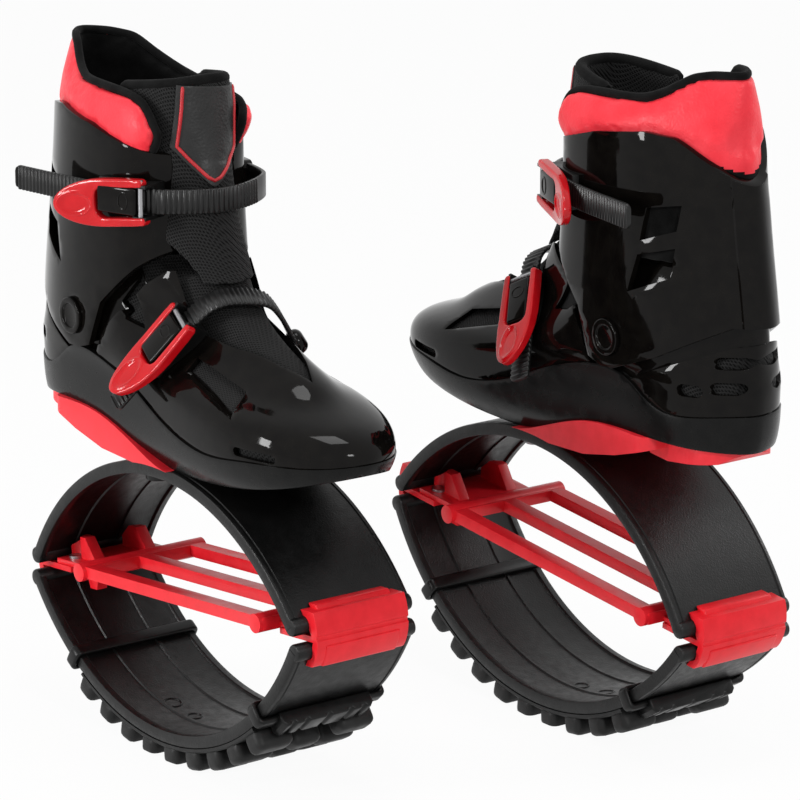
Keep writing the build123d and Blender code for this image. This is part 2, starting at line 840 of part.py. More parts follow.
def vamp_opening():
    """Block that opens the top of the shell from the ankle to the instep."""
    side = [
        (heel_x + along * boot_length, across * foot_half_width) for along, across in opening_plan_shares
    ]
    other = [(x, -y) for x, y in reversed(side[1:])]
    with BuildPart() as block:
        with BuildSketch(Plane.XY.offset(boot_base + opening_height_share * boot_height)):
            with BuildLine():
                Polyline(*side, *other, close=True)
            make_face()
        extrude(amount=boot_height)
    return block.part


def oval_bars(shares, length, height):
    """Long rounded bars across the boot that cut oval windows."""
    with BuildPart() as bars:
        with BuildSketch(Plane.XZ):
            with Locations(*(boot_spot(*share) for share in shares)):
                SlotOverall(length, height)
        extrude(amount=foot_half_width * 2, both=True)
    return bars.part


def shell():
    """Upper half of the hard boot, open on top and windowed, with a rounded ankle drum."""
    reach = foot_half_width * 2
    with BuildPart() as piece:
        add(foot_form(0) - ankle_cut(0))
        add(foot_form(-shell_wall, shell_roof) - ankle_cut(shell_wall), mode=Mode.SUBTRACT)
        extrude(under_line(swoop_line_shares), amount=reach, both=True, mode=Mode.SUBTRACT)
        add(above(boot_base + foot_height), mode=Mode.SUBTRACT)
        add(vamp_opening(), mode=Mode.SUBTRACT)
        for window in shell_window_shares:
            extrude(side_face(window), amount=reach, both=True, mode=Mode.SUBTRACT)
        add(oval_bars(heel_oval_shares, heel_oval_length, heel_oval_height), mode=Mode.SUBTRACT)
        add(oval_bars([toe_oval_share], toe_oval_length, toe_oval_height), mode=Mode.SUBTRACT)
        add(ankle_holes(rivet_shank + rivet_fit), mode=Mode.SUBTRACT)
    return piece.part


def footbed():
    """Insole on the floor of the sole."""
    reach = foot_half_width * 2
    with BuildPart() as piece:
        add(foot_form(-shell_wall - liner_gap, shell_roof + liner_gap))
        top = under_line(floor_line_shares, -seat_gap - insole_thickness)
        extrude(top, amount=reach, both=True, mode=Mode.INTERSECT)
        extrude(under_line(floor_line_shares, -seat_gap), amount=reach, both=True, mode=Mode.SUBTRACT)
    return piece.part


def collar_form(grow):
    """Outer shape of the collar, grown or shrunk."""
    inside = -cuff_wall - collar_gap + grow
    return leg_form(collar_level_shares, cuff_half_width, cuff_squareness, heel_squareness, inside, True)


def leg_space():
    """Room for the leg inside the collar."""
    return collar_form(-leg_wall)


def liner_foot():
    """Padded inner boot round the foot, with a rounded ankle that the cuff rocks over."""
    reach = foot_half_width * 2
    outside = shell_wall + liner_gap
    inside = outside + liner_wall
    rim = boot_base + foot_height + part_gap
    dome = drum(-part_gap) & cuff_form(-cuff_wall - liner_gap) & above(rim)
    with BuildPart() as room:
        add(foot_form(-inside, shell_roof + liner_gap + liner_roof) - ankle_cut(inside))
        floor = under_line(floor_line_shares, -2 * seat_gap - insole_thickness - liner_floor)
        extrude(floor, amount=reach, both=True, mode=Mode.SUBTRACT)
    with BuildPart() as piece:
        add(foot_form(-outside, shell_roof + liner_gap) - ankle_cut(outside))
        floor = under_line(floor_line_shares, -2 * seat_gap - insole_thickness)
        extrude(floor, amount=reach, both=True, mode=Mode.SUBTRACT)
        add(dome)
        add(room.part, mode=Mode.SUBTRACT)
        add(leg_space() & above(rim - liner_roof), mode=Mode.SUBTRACT)
    return piece.part.solids().sort_by(SortBy.VOLUME)[-1]


def front_slot(half_width):
    """Block that opens the front of cuff or collar between its two sides."""
    with BuildPart() as block:
        with BuildSketch(Plane.XY.offset(boot_base)):
            with Locations((ankle_x, 0)):
                Rectangle(boot_length, half_width * 2, align=(Align.MIN, Align.CENTER))
        extrude(amount=boot_height * 2)
    return block.part


def cuff_ring():
    """Wall of the cuff all round, before its front is opened."""
    return (cuff_form(0) - cuff_form(-cuff_wall)) & slab(side_face(cuff_outline_shares), foot_half_width * 2)


def cuff():
    """Hard cuff round the leg, open in front, with a spine up its back."""
    reach = foot_half_width * 2
    spine = (cuff_form(spine_proud) - cuff_form(0)) & slab(side_face(cuff_outline_shares), spine_half_width)
    with BuildPart() as piece:
        add(cuff_ring())
        add(spine)
        add(front_slot(cuff_gap_half), mode=Mode.SUBTRACT)
        add(drum(body_gap), mode=Mode.SUBTRACT)
        for window in cuff_window_shares:
            extrude(side_face(window), amount=reach, both=True, mode=Mode.SUBTRACT)
        add(ankle_holes(rivet_shank + rivet_fit), mode=Mode.SUBTRACT)
        for side in (-1, 1):
            with BuildSketch(ankle_side.offset(side * cuff_half_width)):
                Circle(rivet_radius + part_gap)
            extrude(amount=side * cuff_wall, mode=Mode.SUBTRACT)
    return piece.part


def cuff_rivets():
    """Two ankle rivets, heads outside the cuff and shanks into the shell."""
    shank_end = drum_half_width - shell_wall + part_gap
    with BuildPart() as piece:
        for side in (-1, 1):
            with BuildSketch(ankle_side.offset(side * shank_end)):
                Circle(rivet_shank)
            extrude(amount=side * (cuff_half_width + seat_gap - shank_end))
            with BuildSketch(ankle_side.offset(side * (cuff_half_width + seat_gap))):
                Circle(rivet_radius)
            extrude(amount=side * rivet_head)
            with BuildSketch(ankle_side.offset(side * (cuff_half_width + seat_gap + rivet_head))):
                Circle(rivet_dish_radius)
            extrude(amount=-side * rivet_dish, mode=Mode.SUBTRACT)
    return piece.part


def collar():
    """Padded collar inside the cuff, flaring out above it."""
    with BuildPart() as piece:
        add(collar_form(0))
        add(leg_space(), mode=Mode.SUBTRACT)
        add(slab(side_face(collar_outline_shares), foot_half_width * 2), mode=Mode.INTERSECT)
        add(front_slot(collar_gap_half), mode=Mode.SUBTRACT)
        add(drum(body_gap), mode=Mode.SUBTRACT)
    return piece.part


def tongue(neighbours):
    """Padded tongue down the shin, between the collar's front edges."""
    outer = leg_form(tongue_level_shares, tongue_half_width, tongue_squareness, tongue_squareness, 0)
    inner = leg_form(
        tongue_level_shares, tongue_half_width, tongue_squareness, tongue_squareness, -tongue_wall
    )
    with BuildPart() as piece:
        add((outer - inner) & slab(side_face(tongue_outline_shares), tongue_half_span))
        for neighbour in neighbours:
            add(neighbour, mode=Mode.SUBTRACT)
    return piece.part


def buckle_across(plane):
    """Plane along a buckle's middle: X towards the tip, Y outwards, Z across."""
    return Plane(origin=plane.origin, x_dir=plane.x_dir, z_dir=-plane.y_dir)


def buckle_base(plane, form):
    """Buckle base shaped to the boot below it, with two cheeks that hold the lever's pin."""
    cheek_top = pin_height + pin_radius + part_gap
    cheek_y = (base_width - base_cheek) / 2
    with BuildPart() as piece:
        with BuildSketch(plane.offset(-base_foot)):
            with Locations((base_length / 2 - base_cheek_half, 0)):
                Rectangle(base_length, base_width)
        extrude(amount=base_foot + base_floor)
        with BuildSketch(plane.offset(base_floor)):
            with Locations((0, -cheek_y), (0, cheek_y)):
                Rectangle(base_cheek_half * 2, base_cheek)
        extrude(amount=cheek_top - base_floor)
        add(form, mode=Mode.SUBTRACT)
        with BuildSketch(buckle_across(plane)):
            with Locations((0, pin_height)):
                Circle(pin_radius)
        extrude(amount=base_width, both=True, mode=Mode.SUBTRACT)
    return piece.part


def buckle_pin(plane):
    """Pin through the cheeks, on which the lever turns."""
    with BuildPart() as piece:
        with BuildSketch(buckle_across(plane)):
            with Locations((0, pin_height)):
                Circle(pin_radius)
        extrude(amount=lever_width / 2, both=True)
    return piece.part


def buckle_lever(plane):
    """Lever with two side walls, a window for its button and a raised tip."""
    inner = lever_width - 2 * lever_side
    tip = lever_length - lever_heel
    with BuildPart() as piece:
        with BuildSketch(buckle_across(plane)):
            with BuildLine():
                Polyline(
                    (lever_heel_cut - lever_heel, lever_under),
                    (-lever_heel, lever_under + lever_heel_cut),
                    (-lever_heel, lever_height - lever_skin),
                    (-lever_heel_gap, lever_height),
                    (lever_tip_start, lever_height + lever_skin / 2),
                    (tip, lever_height + lever_tip_rise),
                    (tip, lever_height + lever_tip_rise - lever_skin),
                    (lever_tip_start, lever_under),
                    close=True,
                )
            make_face()
        extrude(amount=lever_width / 2, both=True)
        with BuildSketch(plane):
            with BuildLine():
                Polyline(
                    (-lever_heel, -lever_width / 2),
                    (window_start + window_length, -lever_width / 2),
                    (tip, -lever_tip_width / 2),
                    (tip, lever_tip_width / 2),
                    (window_start + window_length, lever_width / 2),
                    (-lever_heel, lever_width / 2),
                    close=True,
                )
            make_face()
        extrude(amount=lever_height * 2, mode=Mode.INTERSECT)
        with BuildSketch(plane):
            with Locations((-lever_heel - overrun, 0)):
                Rectangle(pocket_end + lever_heel + overrun, inner, align=(Align.MIN, Align.CENTER))
        extrude(amount=lever_height - lever_skin, mode=Mode.SUBTRACT)
        with BuildSketch(plane):
            with Locations((-lever_heel - overrun, 0)):
                Rectangle(
                    lever_heel - lever_heel_gap + overrun, inner, align=(Align.MIN, Align.CENTER)
                )
            with Locations((window_start, 0)):
                Rectangle(window_length, window_width, align=(Align.MIN, Align.CENTER))
        extrude(amount=lever_height * 2, mode=Mode.SUBTRACT)
        cheek_inner = base_width / 2 - base_cheek - part_gap
        for side in (-1, 1):
            with BuildSketch(buckle_across(plane).offset(side * (inner / 2 + cheek_inner) / 2)):
                with Locations((0, pin_height)):
                    Circle(cheek_swing)
            extrude(amount=(inner / 2 - cheek_inner) / 2, both=True, mode=Mode.SUBTRACT)
        with BuildSketch(buckle_across(plane)):
            with Locations((0, pin_height)):
                Circle(pin_radius + pin_fit)
        extrude(amount=lever_width, both=True, mode=Mode.SUBTRACT)
    return piece.part


def buckle_button(plane):
    """Release button in the lever's window, with an oval thumb hollow."""
    centre = window_start + window_length / 2
    with BuildPart() as piece:
        with BuildSketch(plane.offset(button_bottom)):
            with Locations((centre, 0)):
                Rectangle(button_length, button_width)
        extrude(amount=button_top - button_bottom)
        with BuildSketch(plane.offset(button_top)):
            with Locations((centre, 0)):
                Ellipse(button_oval_length / 2, button_oval_width / 2)
        extrude(amount=-button_oval_depth, mode=Mode.SUBTRACT)
    return piece.part


cuff_turn_cos = cos(radians(cuff_buckle_turn))
cuff_turn_sin = sin(radians(cuff_buckle_turn))
cuff_buckle_plane = Plane(
    origin=(cuff_buckle_x, cuff_buckle_y, cuff_buckle_z),
    x_dir=(-cuff_turn_cos, -cuff_turn_sin, 0),
    z_dir=(cuff_turn_sin, -cuff_turn_cos, 0),
)
instep_pivot = Vector(instep_pivot_x, instep_pivot_y, instep_pivot_z)
instep_tip = Vector(instep_tip_x, instep_tip_y, instep_tip_z)
instep_knob = Vector(instep_knob_x, instep_knob_y, instep_knob_z)
instep_down = (instep_tip - instep_pivot).normalized()
instep_over = (instep_knob - instep_pivot).normalized()
instep_across = instep_down.cross(instep_over).normalized()
instep_strap_plane = Plane(origin=instep_pivot, x_dir=instep_over, z_dir=instep_across)
instep_buckle_plane = Plane(
    origin=instep_pivot, x_dir=instep_down, z_dir=instep_down.cross(instep_across)
)
strap_middle = base_floor + part_gap + strap_thickness / 2


def strap_ribs(plane, start):
    """Cross ribs on a strap's outside, past the end of its buckle."""
    with BuildPart() as ribs:
        with BuildSketch(plane.offset(strap_middle + strap_thickness / 2)):
            with Locations((start, 0)):
                with GridLocations(strap_rib_pitch, 0, strap_rib_count, 1, align=(Align.MIN, Align.CENTER)):
                    Rectangle(strap_rib_width, strap_width)
        extrude(amount=strap_rib)
    return ribs.part


def cuff_strap():
    """Ratchet strap from the medial side round the shin and through the cuff buckle."""
    bend = cuff_buckle_plane.from_local_coords((cuff_strap_bend, 0, strap_middle))
    pivot = cuff_buckle_plane.from_local_coords((-base_cheek_half, 0, strap_middle))
    with BuildPart() as piece:
        with BuildSketch(Plane.XY.offset(cuff_buckle_z - strap_width / 2)):
            with BuildLine() as route:
                Polyline((cuff_strap_tail_x, cuff_strap_tail_y), (bend.X, bend.Y), (pivot.X, pivot.Y))
                ThreePointArc(
                    (pivot.X, pivot.Y),
                    (cuff_strap_nose_x, 0),
                    (cuff_strap_medial_x, cuff_strap_medial_y),
                )
                Line(
                    (cuff_strap_medial_x, cuff_strap_medial_y), (cuff_strap_end_x, cuff_strap_end_y)
                )
            trace(route.line, line_width=strap_thickness)
        extrude(amount=strap_width)
        add(strap_ribs(cuff_buckle_plane, 0))
    return piece.part


def instep_strap():
    """Ratchet strap from the medial side over the instep and down through its buckle."""
    out = instep_buckle_plane.z_dir * strap_middle
    ends = [
        instep_pivot + instep_down * instep_strap_tail + out,
        instep_pivot - instep_down * base_cheek_half * 2 + out,
    ]
    tail, pivot = [instep_strap_plane.to_local_coords(end) for end in ends]
    with BuildPart() as piece:
        with BuildSketch(instep_strap_plane.offset(-strap_width / 2)):
            with BuildLine() as route:
                FilletPolyline(
                    (tail.X, tail.Y),
                    (pivot.X, pivot.Y),
                    (instep_crest_run, instep_crest_rise),
                    (instep_far_run, instep_far_rise),
                    (instep_bend_run, instep_bend_rise),
                    (instep_end_run, instep_end_rise),
                    radius=instep_strap_round,
                )
            trace(route.line, line_width=strap_thickness)
        extrude(amount=strap_width)
        add(strap_ribs(instep_buckle_plane, 0))
    return piece.part


def anchor(plane, form, strap):
    """Plate with a round screw cap that holds a strap's end to the boot."""
    with BuildPart() as piece:
        with BuildSketch(plane.offset(-anchor_depth)):
            RectangleRounded(anchor_length, anchor_width, anchor_screw_radius)
        extrude(amount=anchor_depth + anchor_thickness)
        with BuildSketch(plane.offset(anchor_thickness)):
            Circle(anchor_screw_radius)
        extrude(amount=anchor_screw_height)
        with BuildSketch(plane.offset(anchor_thickness + anchor_screw_height)):
            Circle(anchor_screw_radius / 2)
        extrude(amount=-anchor_screw_dish, mode=Mode.SUBTRACT)
        add(form, mode=Mode.SUBTRACT)
        add(strap, mode=Mode.SUBTRACT)
    return piece.part


def anchor_plane(start, end, across):
    """Plane on a strap's end, X along it and Z outwards."""
    along = (end - start).normalized()
    return Plane(origin=end, x_dir=along, z_dir=along.cross(across).normalized())


def shoe():
    """The pieces that the right shoe has, and the left shoe has as a mirror image."""
    cuff_piece = cuff()
    collar_piece = collar()
    cuff_strap_piece = cuff_strap()
    instep_strap_piece = instep_strap()
    cuff_skin = cuff_form(seat_gap)
    foot_skin = foot_form(sole_proud + seat_gap)
    cuff_anchor_plane = anchor_plane(
        Vector(cuff_strap_medial_x, cuff_strap_medial_y, cuff_buckle_z),
        Vector(cuff_strap_end_x, cuff_strap_end_y, cuff_buckle_z),
        Vector(0, 0, 1),
    )
    bend = instep_strap_plane.from_local_coords((instep_bend_run, instep_bend_rise, 0))
    end = instep_strap_plane.from_local_coords((instep_end_run, instep_end_rise, 0))
    instep_anchor_plane = anchor_plane(bend, end, instep_across)
    return {
        "lower_arch": lower_arch(),
        "tread": tread(),
        "tread_bands": tread_bands(),
        "upper_arch": upper_arch(),
        "mounting_bolts": mounting_bolts(),
        "toe_clamp": clamp(1),
        "heel_clamp": clamp(-1),
        "clamp_screws": clamp_screws(),
        "wedge_plate": wedge_plate(),
        "sole_base": sole_base(),
        "shell": shell(),
        "footbed": footbed(),
        "liner_foot": liner_foot(),
        "liner_collar": collar_piece,
        "tongue": tongue((cuff_piece, collar_piece)),
        "cuff": cuff_piece,
        "cuff_rivets": cuff_rivets(),
        "cuff_buckle_base": buckle_base(cuff_buckle_plane, cuff_skin),
        "cuff_buckle_pin": buckle_pin(cuff_buckle_plane),
        "cuff_buckle_lever": buckle_lever(cuff_buckle_plane),
        "cuff_buckle_button": buckle_button(cuff_buckle_plane),
        "cuff_strap": cuff_strap_piece,
        "cuff_strap_anchor": anchor(cuff_anchor_plane, cuff_skin, cuff_strap_piece),
        "instep_buckle_base": buckle_base(instep_buckle_plane, foot_skin),
        "instep_buckle_pin": buckle_pin(instep_buckle_plane),
        "instep_buckle_lever": buckle_lever(instep_buckle_plane),
        "instep_buckle_button": buckle_button(instep_buckle_plane),
        "instep_strap": instep_strap_piece,
        "instep_strap_anchor": anchor(instep_anchor_plane, foot_skin, instep_strap_piece),
    }


def keep(label, piece):
    """Label a piece and write it."""
    piece.label = label
    export_step(piece, f"parts/{label}.step")


left_place = Location((left_shoe_x, left_shoe_y, 0))
for name, piece in shoe().items():
    keep(f"right_{name}", piece)
    keep(f"left_{name}", mirror(piece, about=Plane.YZ).moved(left_place))

# The finned end of the spring frame faces -X in both shoes
keep("right_spring_bars", spring_bars(-1))
keep("left_spring_bars", mirror(spring_bars(1), about=Plane.YZ).moved(left_place))
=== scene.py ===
# %% [markdown]
# This lesson dresses a pair of rebound shoes. Their construction comes in as a fixed frame of
# solids in metres, with the right shoe at the origin and its toe along +X. Every piece made here
# sits where that frame says, so the first step is to open it and keep its box.

# %% Open the frame
import math
from contextlib import contextmanager
from types import SimpleNamespace
import bmesh
import bpy
from mathutils import Matrix, Vector
from mathutils.bvhtree import BVHTree


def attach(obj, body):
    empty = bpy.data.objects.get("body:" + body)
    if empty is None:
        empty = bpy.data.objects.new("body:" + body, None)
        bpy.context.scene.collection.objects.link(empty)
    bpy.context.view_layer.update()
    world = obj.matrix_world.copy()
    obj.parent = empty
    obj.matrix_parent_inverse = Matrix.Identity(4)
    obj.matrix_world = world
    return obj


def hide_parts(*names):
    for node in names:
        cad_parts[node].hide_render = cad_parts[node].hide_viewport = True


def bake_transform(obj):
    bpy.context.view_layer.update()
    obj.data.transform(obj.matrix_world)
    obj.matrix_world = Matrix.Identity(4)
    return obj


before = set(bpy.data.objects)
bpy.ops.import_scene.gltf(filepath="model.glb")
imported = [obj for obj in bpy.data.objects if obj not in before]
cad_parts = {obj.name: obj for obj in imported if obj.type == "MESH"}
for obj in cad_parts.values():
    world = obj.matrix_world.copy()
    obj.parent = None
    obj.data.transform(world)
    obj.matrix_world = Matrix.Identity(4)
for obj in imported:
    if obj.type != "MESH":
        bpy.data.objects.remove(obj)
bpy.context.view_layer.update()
mm = 0.001

# %% [markdown]
# The photograph was taken from the front and a little above with a long lens, so the camera stands
# far away and the two shoes keep nearly parallel edges.

# %% Camera
camera_data = bpy.data.cameras.new("camera")
camera = bpy.data.objects.new("camera", camera_data)
bpy.context.scene.collection.objects.link(camera)
camera_data.sensor_width = 36
camera_data.lens = 189.3
camera.location = (1.9121, -1.2941, 0.8413)
camera.rotation_euler = (math.radians(74.63), 0, math.radians(53.28))
bpy.context.scene.camera = camera
bpy.context.scene.view_settings.view_transform = "Standard"
print("camera at", tuple(round(v, 3) for v in camera.location))

# %% [markdown]
# A product photograph hides its room: the floor and the surroundings are plain white. The rays
# that the camera, gloss and glass see get that white straight from the colour, while the light on
# the shoes stays at a plain level. The floor mixes a little of its lit side in, which keeps a
# shadow under the shoes.

# %% Floor and surroundings
white = (1.0, 1.0, 1.0, 1.0)
surround_level = 0.4
floor_height = -0.0004
floor_shadow_share = 0.05


def net_of(holder):
    """The node network of a material or world."""
    holder.use_nodes = True
    return SimpleNamespace(nodes=holder.node_tree.nodes, links=holder.node_tree.links)


def add_node(net, kind, **values):
    """A new node in a network with some of its inputs set, their spaces written as underscores."""
    made = net.nodes.new("ShaderNode" + kind)
    for name, value in values.items():
        made.inputs[name.replace("_", " ")].default_value = value
    return made


def joined(net, operation, first, second):
    """The result of a mathematical operation on two outputs, or on an output and a number."""
    made = add_node(net, "Math")
    made.operation = operation
    for socket, value in zip(made.inputs, (first, second)):
        if isinstance(value, float):
            socket.default_value = value
        else:
            net.links.new(value, socket)
    return made.outputs[0]


def seen_ray(net):
    """One where a camera, glossy or transmission ray looks, zero for a lighting ray."""
    path = add_node(net, "LightPath").outputs
    first = joined(net, "MAXIMUM", path["Is Camera Ray"], path["Is Glossy Ray"])
    return joined(net, "MAXIMUM", first, path["Is Transmission Ray"])


world = bpy.data.worlds.new("surroundings")
bpy.context.scene.world = world
around = net_of(world)
background = around.nodes["Background"]
background.inputs["Color"].default_value = white
level = add_node(around, "MapRange", To_Min=surround_level, To_Max=1.0)
around.links.new(seen_ray(around), level.inputs["Value"])
around.links.new(level.outputs["Result"], background.inputs["Strength"])

bpy.ops.object.select_all(action="DESELECT")
bpy.ops.mesh.primitive_plane_add(size=8, location=(0, 0, floor_height))
floor = bpy.context.object
floor.name = "floor"
paper = bpy.data.materials.new("floor_paper")
page = net_of(paper)
paper_lit = page.nodes["Principled BSDF"]
paper_lit.inputs["Base Color"].default_value = (0.9, 0.9, 0.9, 1)
paper_lit.inputs["Roughness"].default_value = 0.9
paper_glow = add_node(page, "Emission")
paper_mix = add_node(page, "MixShader")
glow_share = joined(page, "MULTIPLY", seen_ray(page), 1 - floor_shadow_share)
for output, socket in zip((glow_share, paper_lit.outputs[0], paper_glow.outputs[0]), paper_mix.inputs):
    page.links.new(output, socket)
page.links.new(paper_mix.outputs[0], page.nodes["Material Output"].inputs["Surface"])
floor.data.materials.append(paper)
print("floor and surroundings are ready")

# %% [markdown]
# Glossy black plastic shows its form only through what it mirrors. Four soft boxes give it bright
# patches: a tall one on the left, a small one in front, a large one overhead and a slim one right.

# %% Soft boxes


def soft_box(name, place, aim, width, height, power):
    """A rectangular lamp at a place, facing an aim point."""
    lamp = bpy.data.lights.new(name, "AREA")
    lamp.shape = "RECTANGLE"
    lamp.size = width
    lamp.size_y = height
    lamp.energy = power
    lamp_object = bpy.data.objects.new(name, lamp)
    bpy.context.scene.collection.objects.link(lamp_object)
    lamp_object.location = place
    direction = Vector(aim) - Vector(place)
    lamp_object.rotation_euler = direction.to_track_quat("-Z", "Y").to_euler()


shoes_middle = (0.04, 0.1, 0.2)
soft_box("tall_box", (-0.35, -1.5, 0.6), shoes_middle, 0.22, 0.6, 15)
soft_box("front_box", (1.7, -0.2, 1.1), shoes_middle, 0.3, 0.3, 8)
soft_box("top_box", (0.2, 0.1, 1.9), shoes_middle, 0.6, 0.6, 8)
soft_box("right_box", (0.5, 1.7, 1.0), shoes_middle, 0.16, 0.8, 7)
print("lamps:", len(bpy.data.lights))

# %% [markdown]
# Every finish is a small network of nodes that reads the piece's own coordinates. One helper sets
# the values that hold all over. The others make a pattern, or lead it to colour, polish or bump.

# %% Finish helpers


def new_finish(name, colour, roughness, specular=0.5, sheen=0.0):
    """A new material's network, with the shader's plain values set."""
    material = bpy.data.materials.new(name)
    net = net_of(material)
    net.material = material
    net.shader = net.nodes["Principled BSDF"].inputs
    net.shader["Base Color"].default_value = (*colour, 1)
    net.shader["Roughness"].default_value = roughness
    net.shader["Specular IOR Level"].default_value = specular
    net.shader["Sheen Weight"].default_value = sheen
    return net


def own_place(net, size):
    """The piece's own coordinates in steps of a size in metres."""
    mapping = add_node(net, "Mapping", Scale=(1 / size, 1 / size, 1 / size))
    net.links.new(add_node(net, "TexCoord").outputs["Object"], mapping.inputs["Vector"])
    return mapping.outputs["Vector"]


def grain(net, size, detail=2.0):
    """Soft random grain of a size in metres."""
    noise = add_node(net, "TexNoise", Scale=1.0, Detail=detail)
    net.links.new(own_place(net, size), noise.inputs["Vector"])
    return noise.outputs["Fac"]


def pebbles(net, size):
    """Cells with sunk borders, like the pebbles of grained leather."""
    cells = add_node(net, "TexVoronoi", Scale=1.0)
    cells.feature = "SMOOTH_F1"
    net.links.new(own_place(net, size), cells.inputs["Vector"])
    return cells.outputs["Distance"]


def raise_by(net, pattern, depth, strength):
    """Bump from a pattern, its depth in metres; a second call adds to the first."""
    bump = add_node(net, "Bump", Strength=strength, Distance=depth)
    net.links.new(pattern, bump.inputs["Height"])
    if net.shader["Normal"].is_linked:
        net.links.new(net.shader["Normal"].links[0].from_socket, bump.inputs["Normal"])
    net.links.new(bump.outputs["Normal"], net.shader["Normal"])


def blend_colour(net, pattern, first, second, low=0.35, high=0.65):
    """Base colour that goes from first to second along a pattern."""
    ramp = add_node(net, "ValToRGB")
    for stop, place, colour in zip(ramp.color_ramp.elements, (low, high), (first, second)):
        stop.position = place
        stop.color = (*colour, 1)
    net.links.new(pattern, ramp.inputs["Fac"])
    net.links.new(ramp.outputs["Color"], net.shader["Base Color"])


def vary_roughness(net, pattern, low, high):
    """Roughness between two values along a pattern."""
    spread = add_node(net, "MapRange", From_Min=0.3, From_Max=0.7, To_Min=low, To_Max=high)
    net.links.new(pattern, spread.inputs["Value"])
    net.links.new(spread.outputs["Result"], net.shader["Roughness"])


def grey(level):
    """A neutral colour."""
    return level, level, level


print("finish helpers are ready")

# %% [markdown]
# The plastics come first. The shell and cuff are polished black with a trace of the mould's
# orange peel; the arches carry a fine leather grain; treads and bands are dull rubber; the red
# pieces are satin, and the levers polished.

# %% Plastics and rubber


finish = {}


def plain_plastic(name, dark, pale, low, high, specular=0.5):
    """Moulded plastic with faint clouds in colour and polish, and a trace of orange peel."""
    net = new_finish(name, dark, low, specular)
    cloud = grain(net, 9 * mm, 3)
    blend_colour(net, cloud, dark, pale)
    vary_roughness(net, cloud, low, high)
    raise_by(net, grain(net, 1.6 * mm), 0.02 * mm, 0.25)
    finish[name] = net.material


def grained_plastic(name, dark, pale, roughness, cell, depth):
    """Plastic or rubber with a pressed grain of small cells."""
    net = new_finish(name, dark, roughness, 0.25)
    blend_colour(net, grain(net, 14 * mm, 4), dark, pale)
    vary_roughness(net, grain(net, 5 * mm), roughness - 0.06, roughness + 0.08)
    raise_by(net, pebbles(net, cell), depth, 0.8)
    raise_by(net, grain(net, cell * 0.4), depth * 0.5, 0.5)
    finish[name] = net.material


plain_plastic("black_gloss", (0.0025, 0.002, 0.0018), (0.0045, 0.0038, 0.0032), 0.04, 0.07, 0.13)
plain_plastic("black_base", grey(0.003), (0.005, 0.005, 0.0048), 0.2, 0.3, 0.14)
plain_plastic("black_satin", grey(0.004), grey(0.007), 0.3, 0.42, 0.2)
grained_plastic("arch_grain", grey(0.0035), grey(0.007), 0.38, 0.9 * mm, 0.12 * mm)
grained_plastic("tread_rubber", grey(0.007), grey(0.014), 0.5, 1.6 * mm, 0.06 * mm)
plain_plastic("red_satin", (0.78, 0.011, 0.02), (0.86, 0.017, 0.028), 0.3, 0.4, 0.28)
plain_plastic("red_wedge", (0.80, 0.016, 0.028), (0.88, 0.025, 0.04), 0.36, 0.46, 0.4)
plain_plastic("red_gloss", (0.52, 0.004, 0.008), (0.58, 0.007, 0.012), 0.1, 0.16, 0.3)
plain_plastic("strap_plastic", grey(0.006), grey(0.011), 0.3, 0.4, 0.3)
plain_plastic("shield_red", (0.42, 0.006, 0.012), (0.52, 0.012, 0.02), 0.4, 0.5)
print("plastics:", ", ".join(finish))

# %% [markdown]
# Soft materials need more than a colour. The leather of the collar has rounded pebbles, the knit
# of tongue and inner boot is a net of small holes in offset rows, and the lining is a short
# plush that catches light at grazing angles.

# %% Leather, knit and plush


def leather(name, dark, pale, cell):
    """Soft leather with pressed pebbles and a slow change of tone."""
    net = new_finish(name, dark, 0.42, 0.3)
    blend_colour(net, grain(net, 18 * mm, 4), dark, pale)
    vary_roughness(net, grain(net, 3 * mm), 0.38, 0.52)
    raise_by(net, pebbles(net, cell), 0.35 * mm, 0.5)
    raise_by(net, grain(net, 0.5 * cell), 0.1 * mm, 0.4)
    finish[name] = net.material


def knit(name, dark, pale, step):
    """Coarse mesh fabric: rows of small holes, each row half a step along from the last."""
    net = new_finish(name, dark, 0.8, 0.12, 0.04)
    net.shader["Sheen Roughness"].default_value = 0.4
    waves = []
    for turn in ((1, 1, 1), (1, -1, -1)):
        wave = add_node(net, "TexWave", Scale=0.16, Distortion=0.6, Detail_Scale=0.5)
        wave.bands_direction = "DIAGONAL"
        mapping = add_node(net, "Mapping", Scale=turn)
        net.links.new(own_place(net, step), mapping.inputs["Vector"])
        net.links.new(mapping.outputs["Vector"], wave.inputs["Vector"])
        waves.append(wave.outputs["Fac"])
    threads = joined(net, "MAXIMUM", *waves)
    blend_colour(net, threads, dark, pale, 0.35, 0.85)
    raise_by(net, threads, 0.6 * mm, 0.9)
    finish[name] = net.material


def plush(name, dark, pale):
    """Short pile: rough, with a soft sheen and fine uneven tufts."""
    net = new_finish(name, dark, 0.95, 0.08, 0.03)
    net.shader["Sheen Roughness"].default_value = 0.5
    blend_colour(net, grain(net, 9 * mm, 5), dark, pale)
    raise_by(net, grain(net, 0.9 * mm, 4), 0.3 * mm, 0.7)
    finish[name] = net.material


def metal(name, colour, roughness):
    """Plated steel with faint streaks in its polish."""
    net = new_finish(name, colour, roughness)
    net.shader["Metallic"].default_value = 1.0
    vary_roughness(net, grain(net, 1.5 * mm, 3), roughness - 0.08, roughness + 0.1)
    finish[name] = net.material


leather("red_leather", (0.86, 0.028, 0.045), (0.95, 0.05, 0.07), 1.3 * mm)
leather("patch_leather", grey(0.010), grey(0.018), 1.5 * mm)
knit("knit", grey(0.0012), grey(0.021), 0.65 * mm)
plush("plush", grey(0.0035), grey(0.008))
metal("bolt_steel", (0.35, 0.35, 0.36), 0.35)
print("finishes:", len(finish))

# %% [markdown]
# Bolts, screws and insole lie inside, so their solids stay as they are and only get a material.

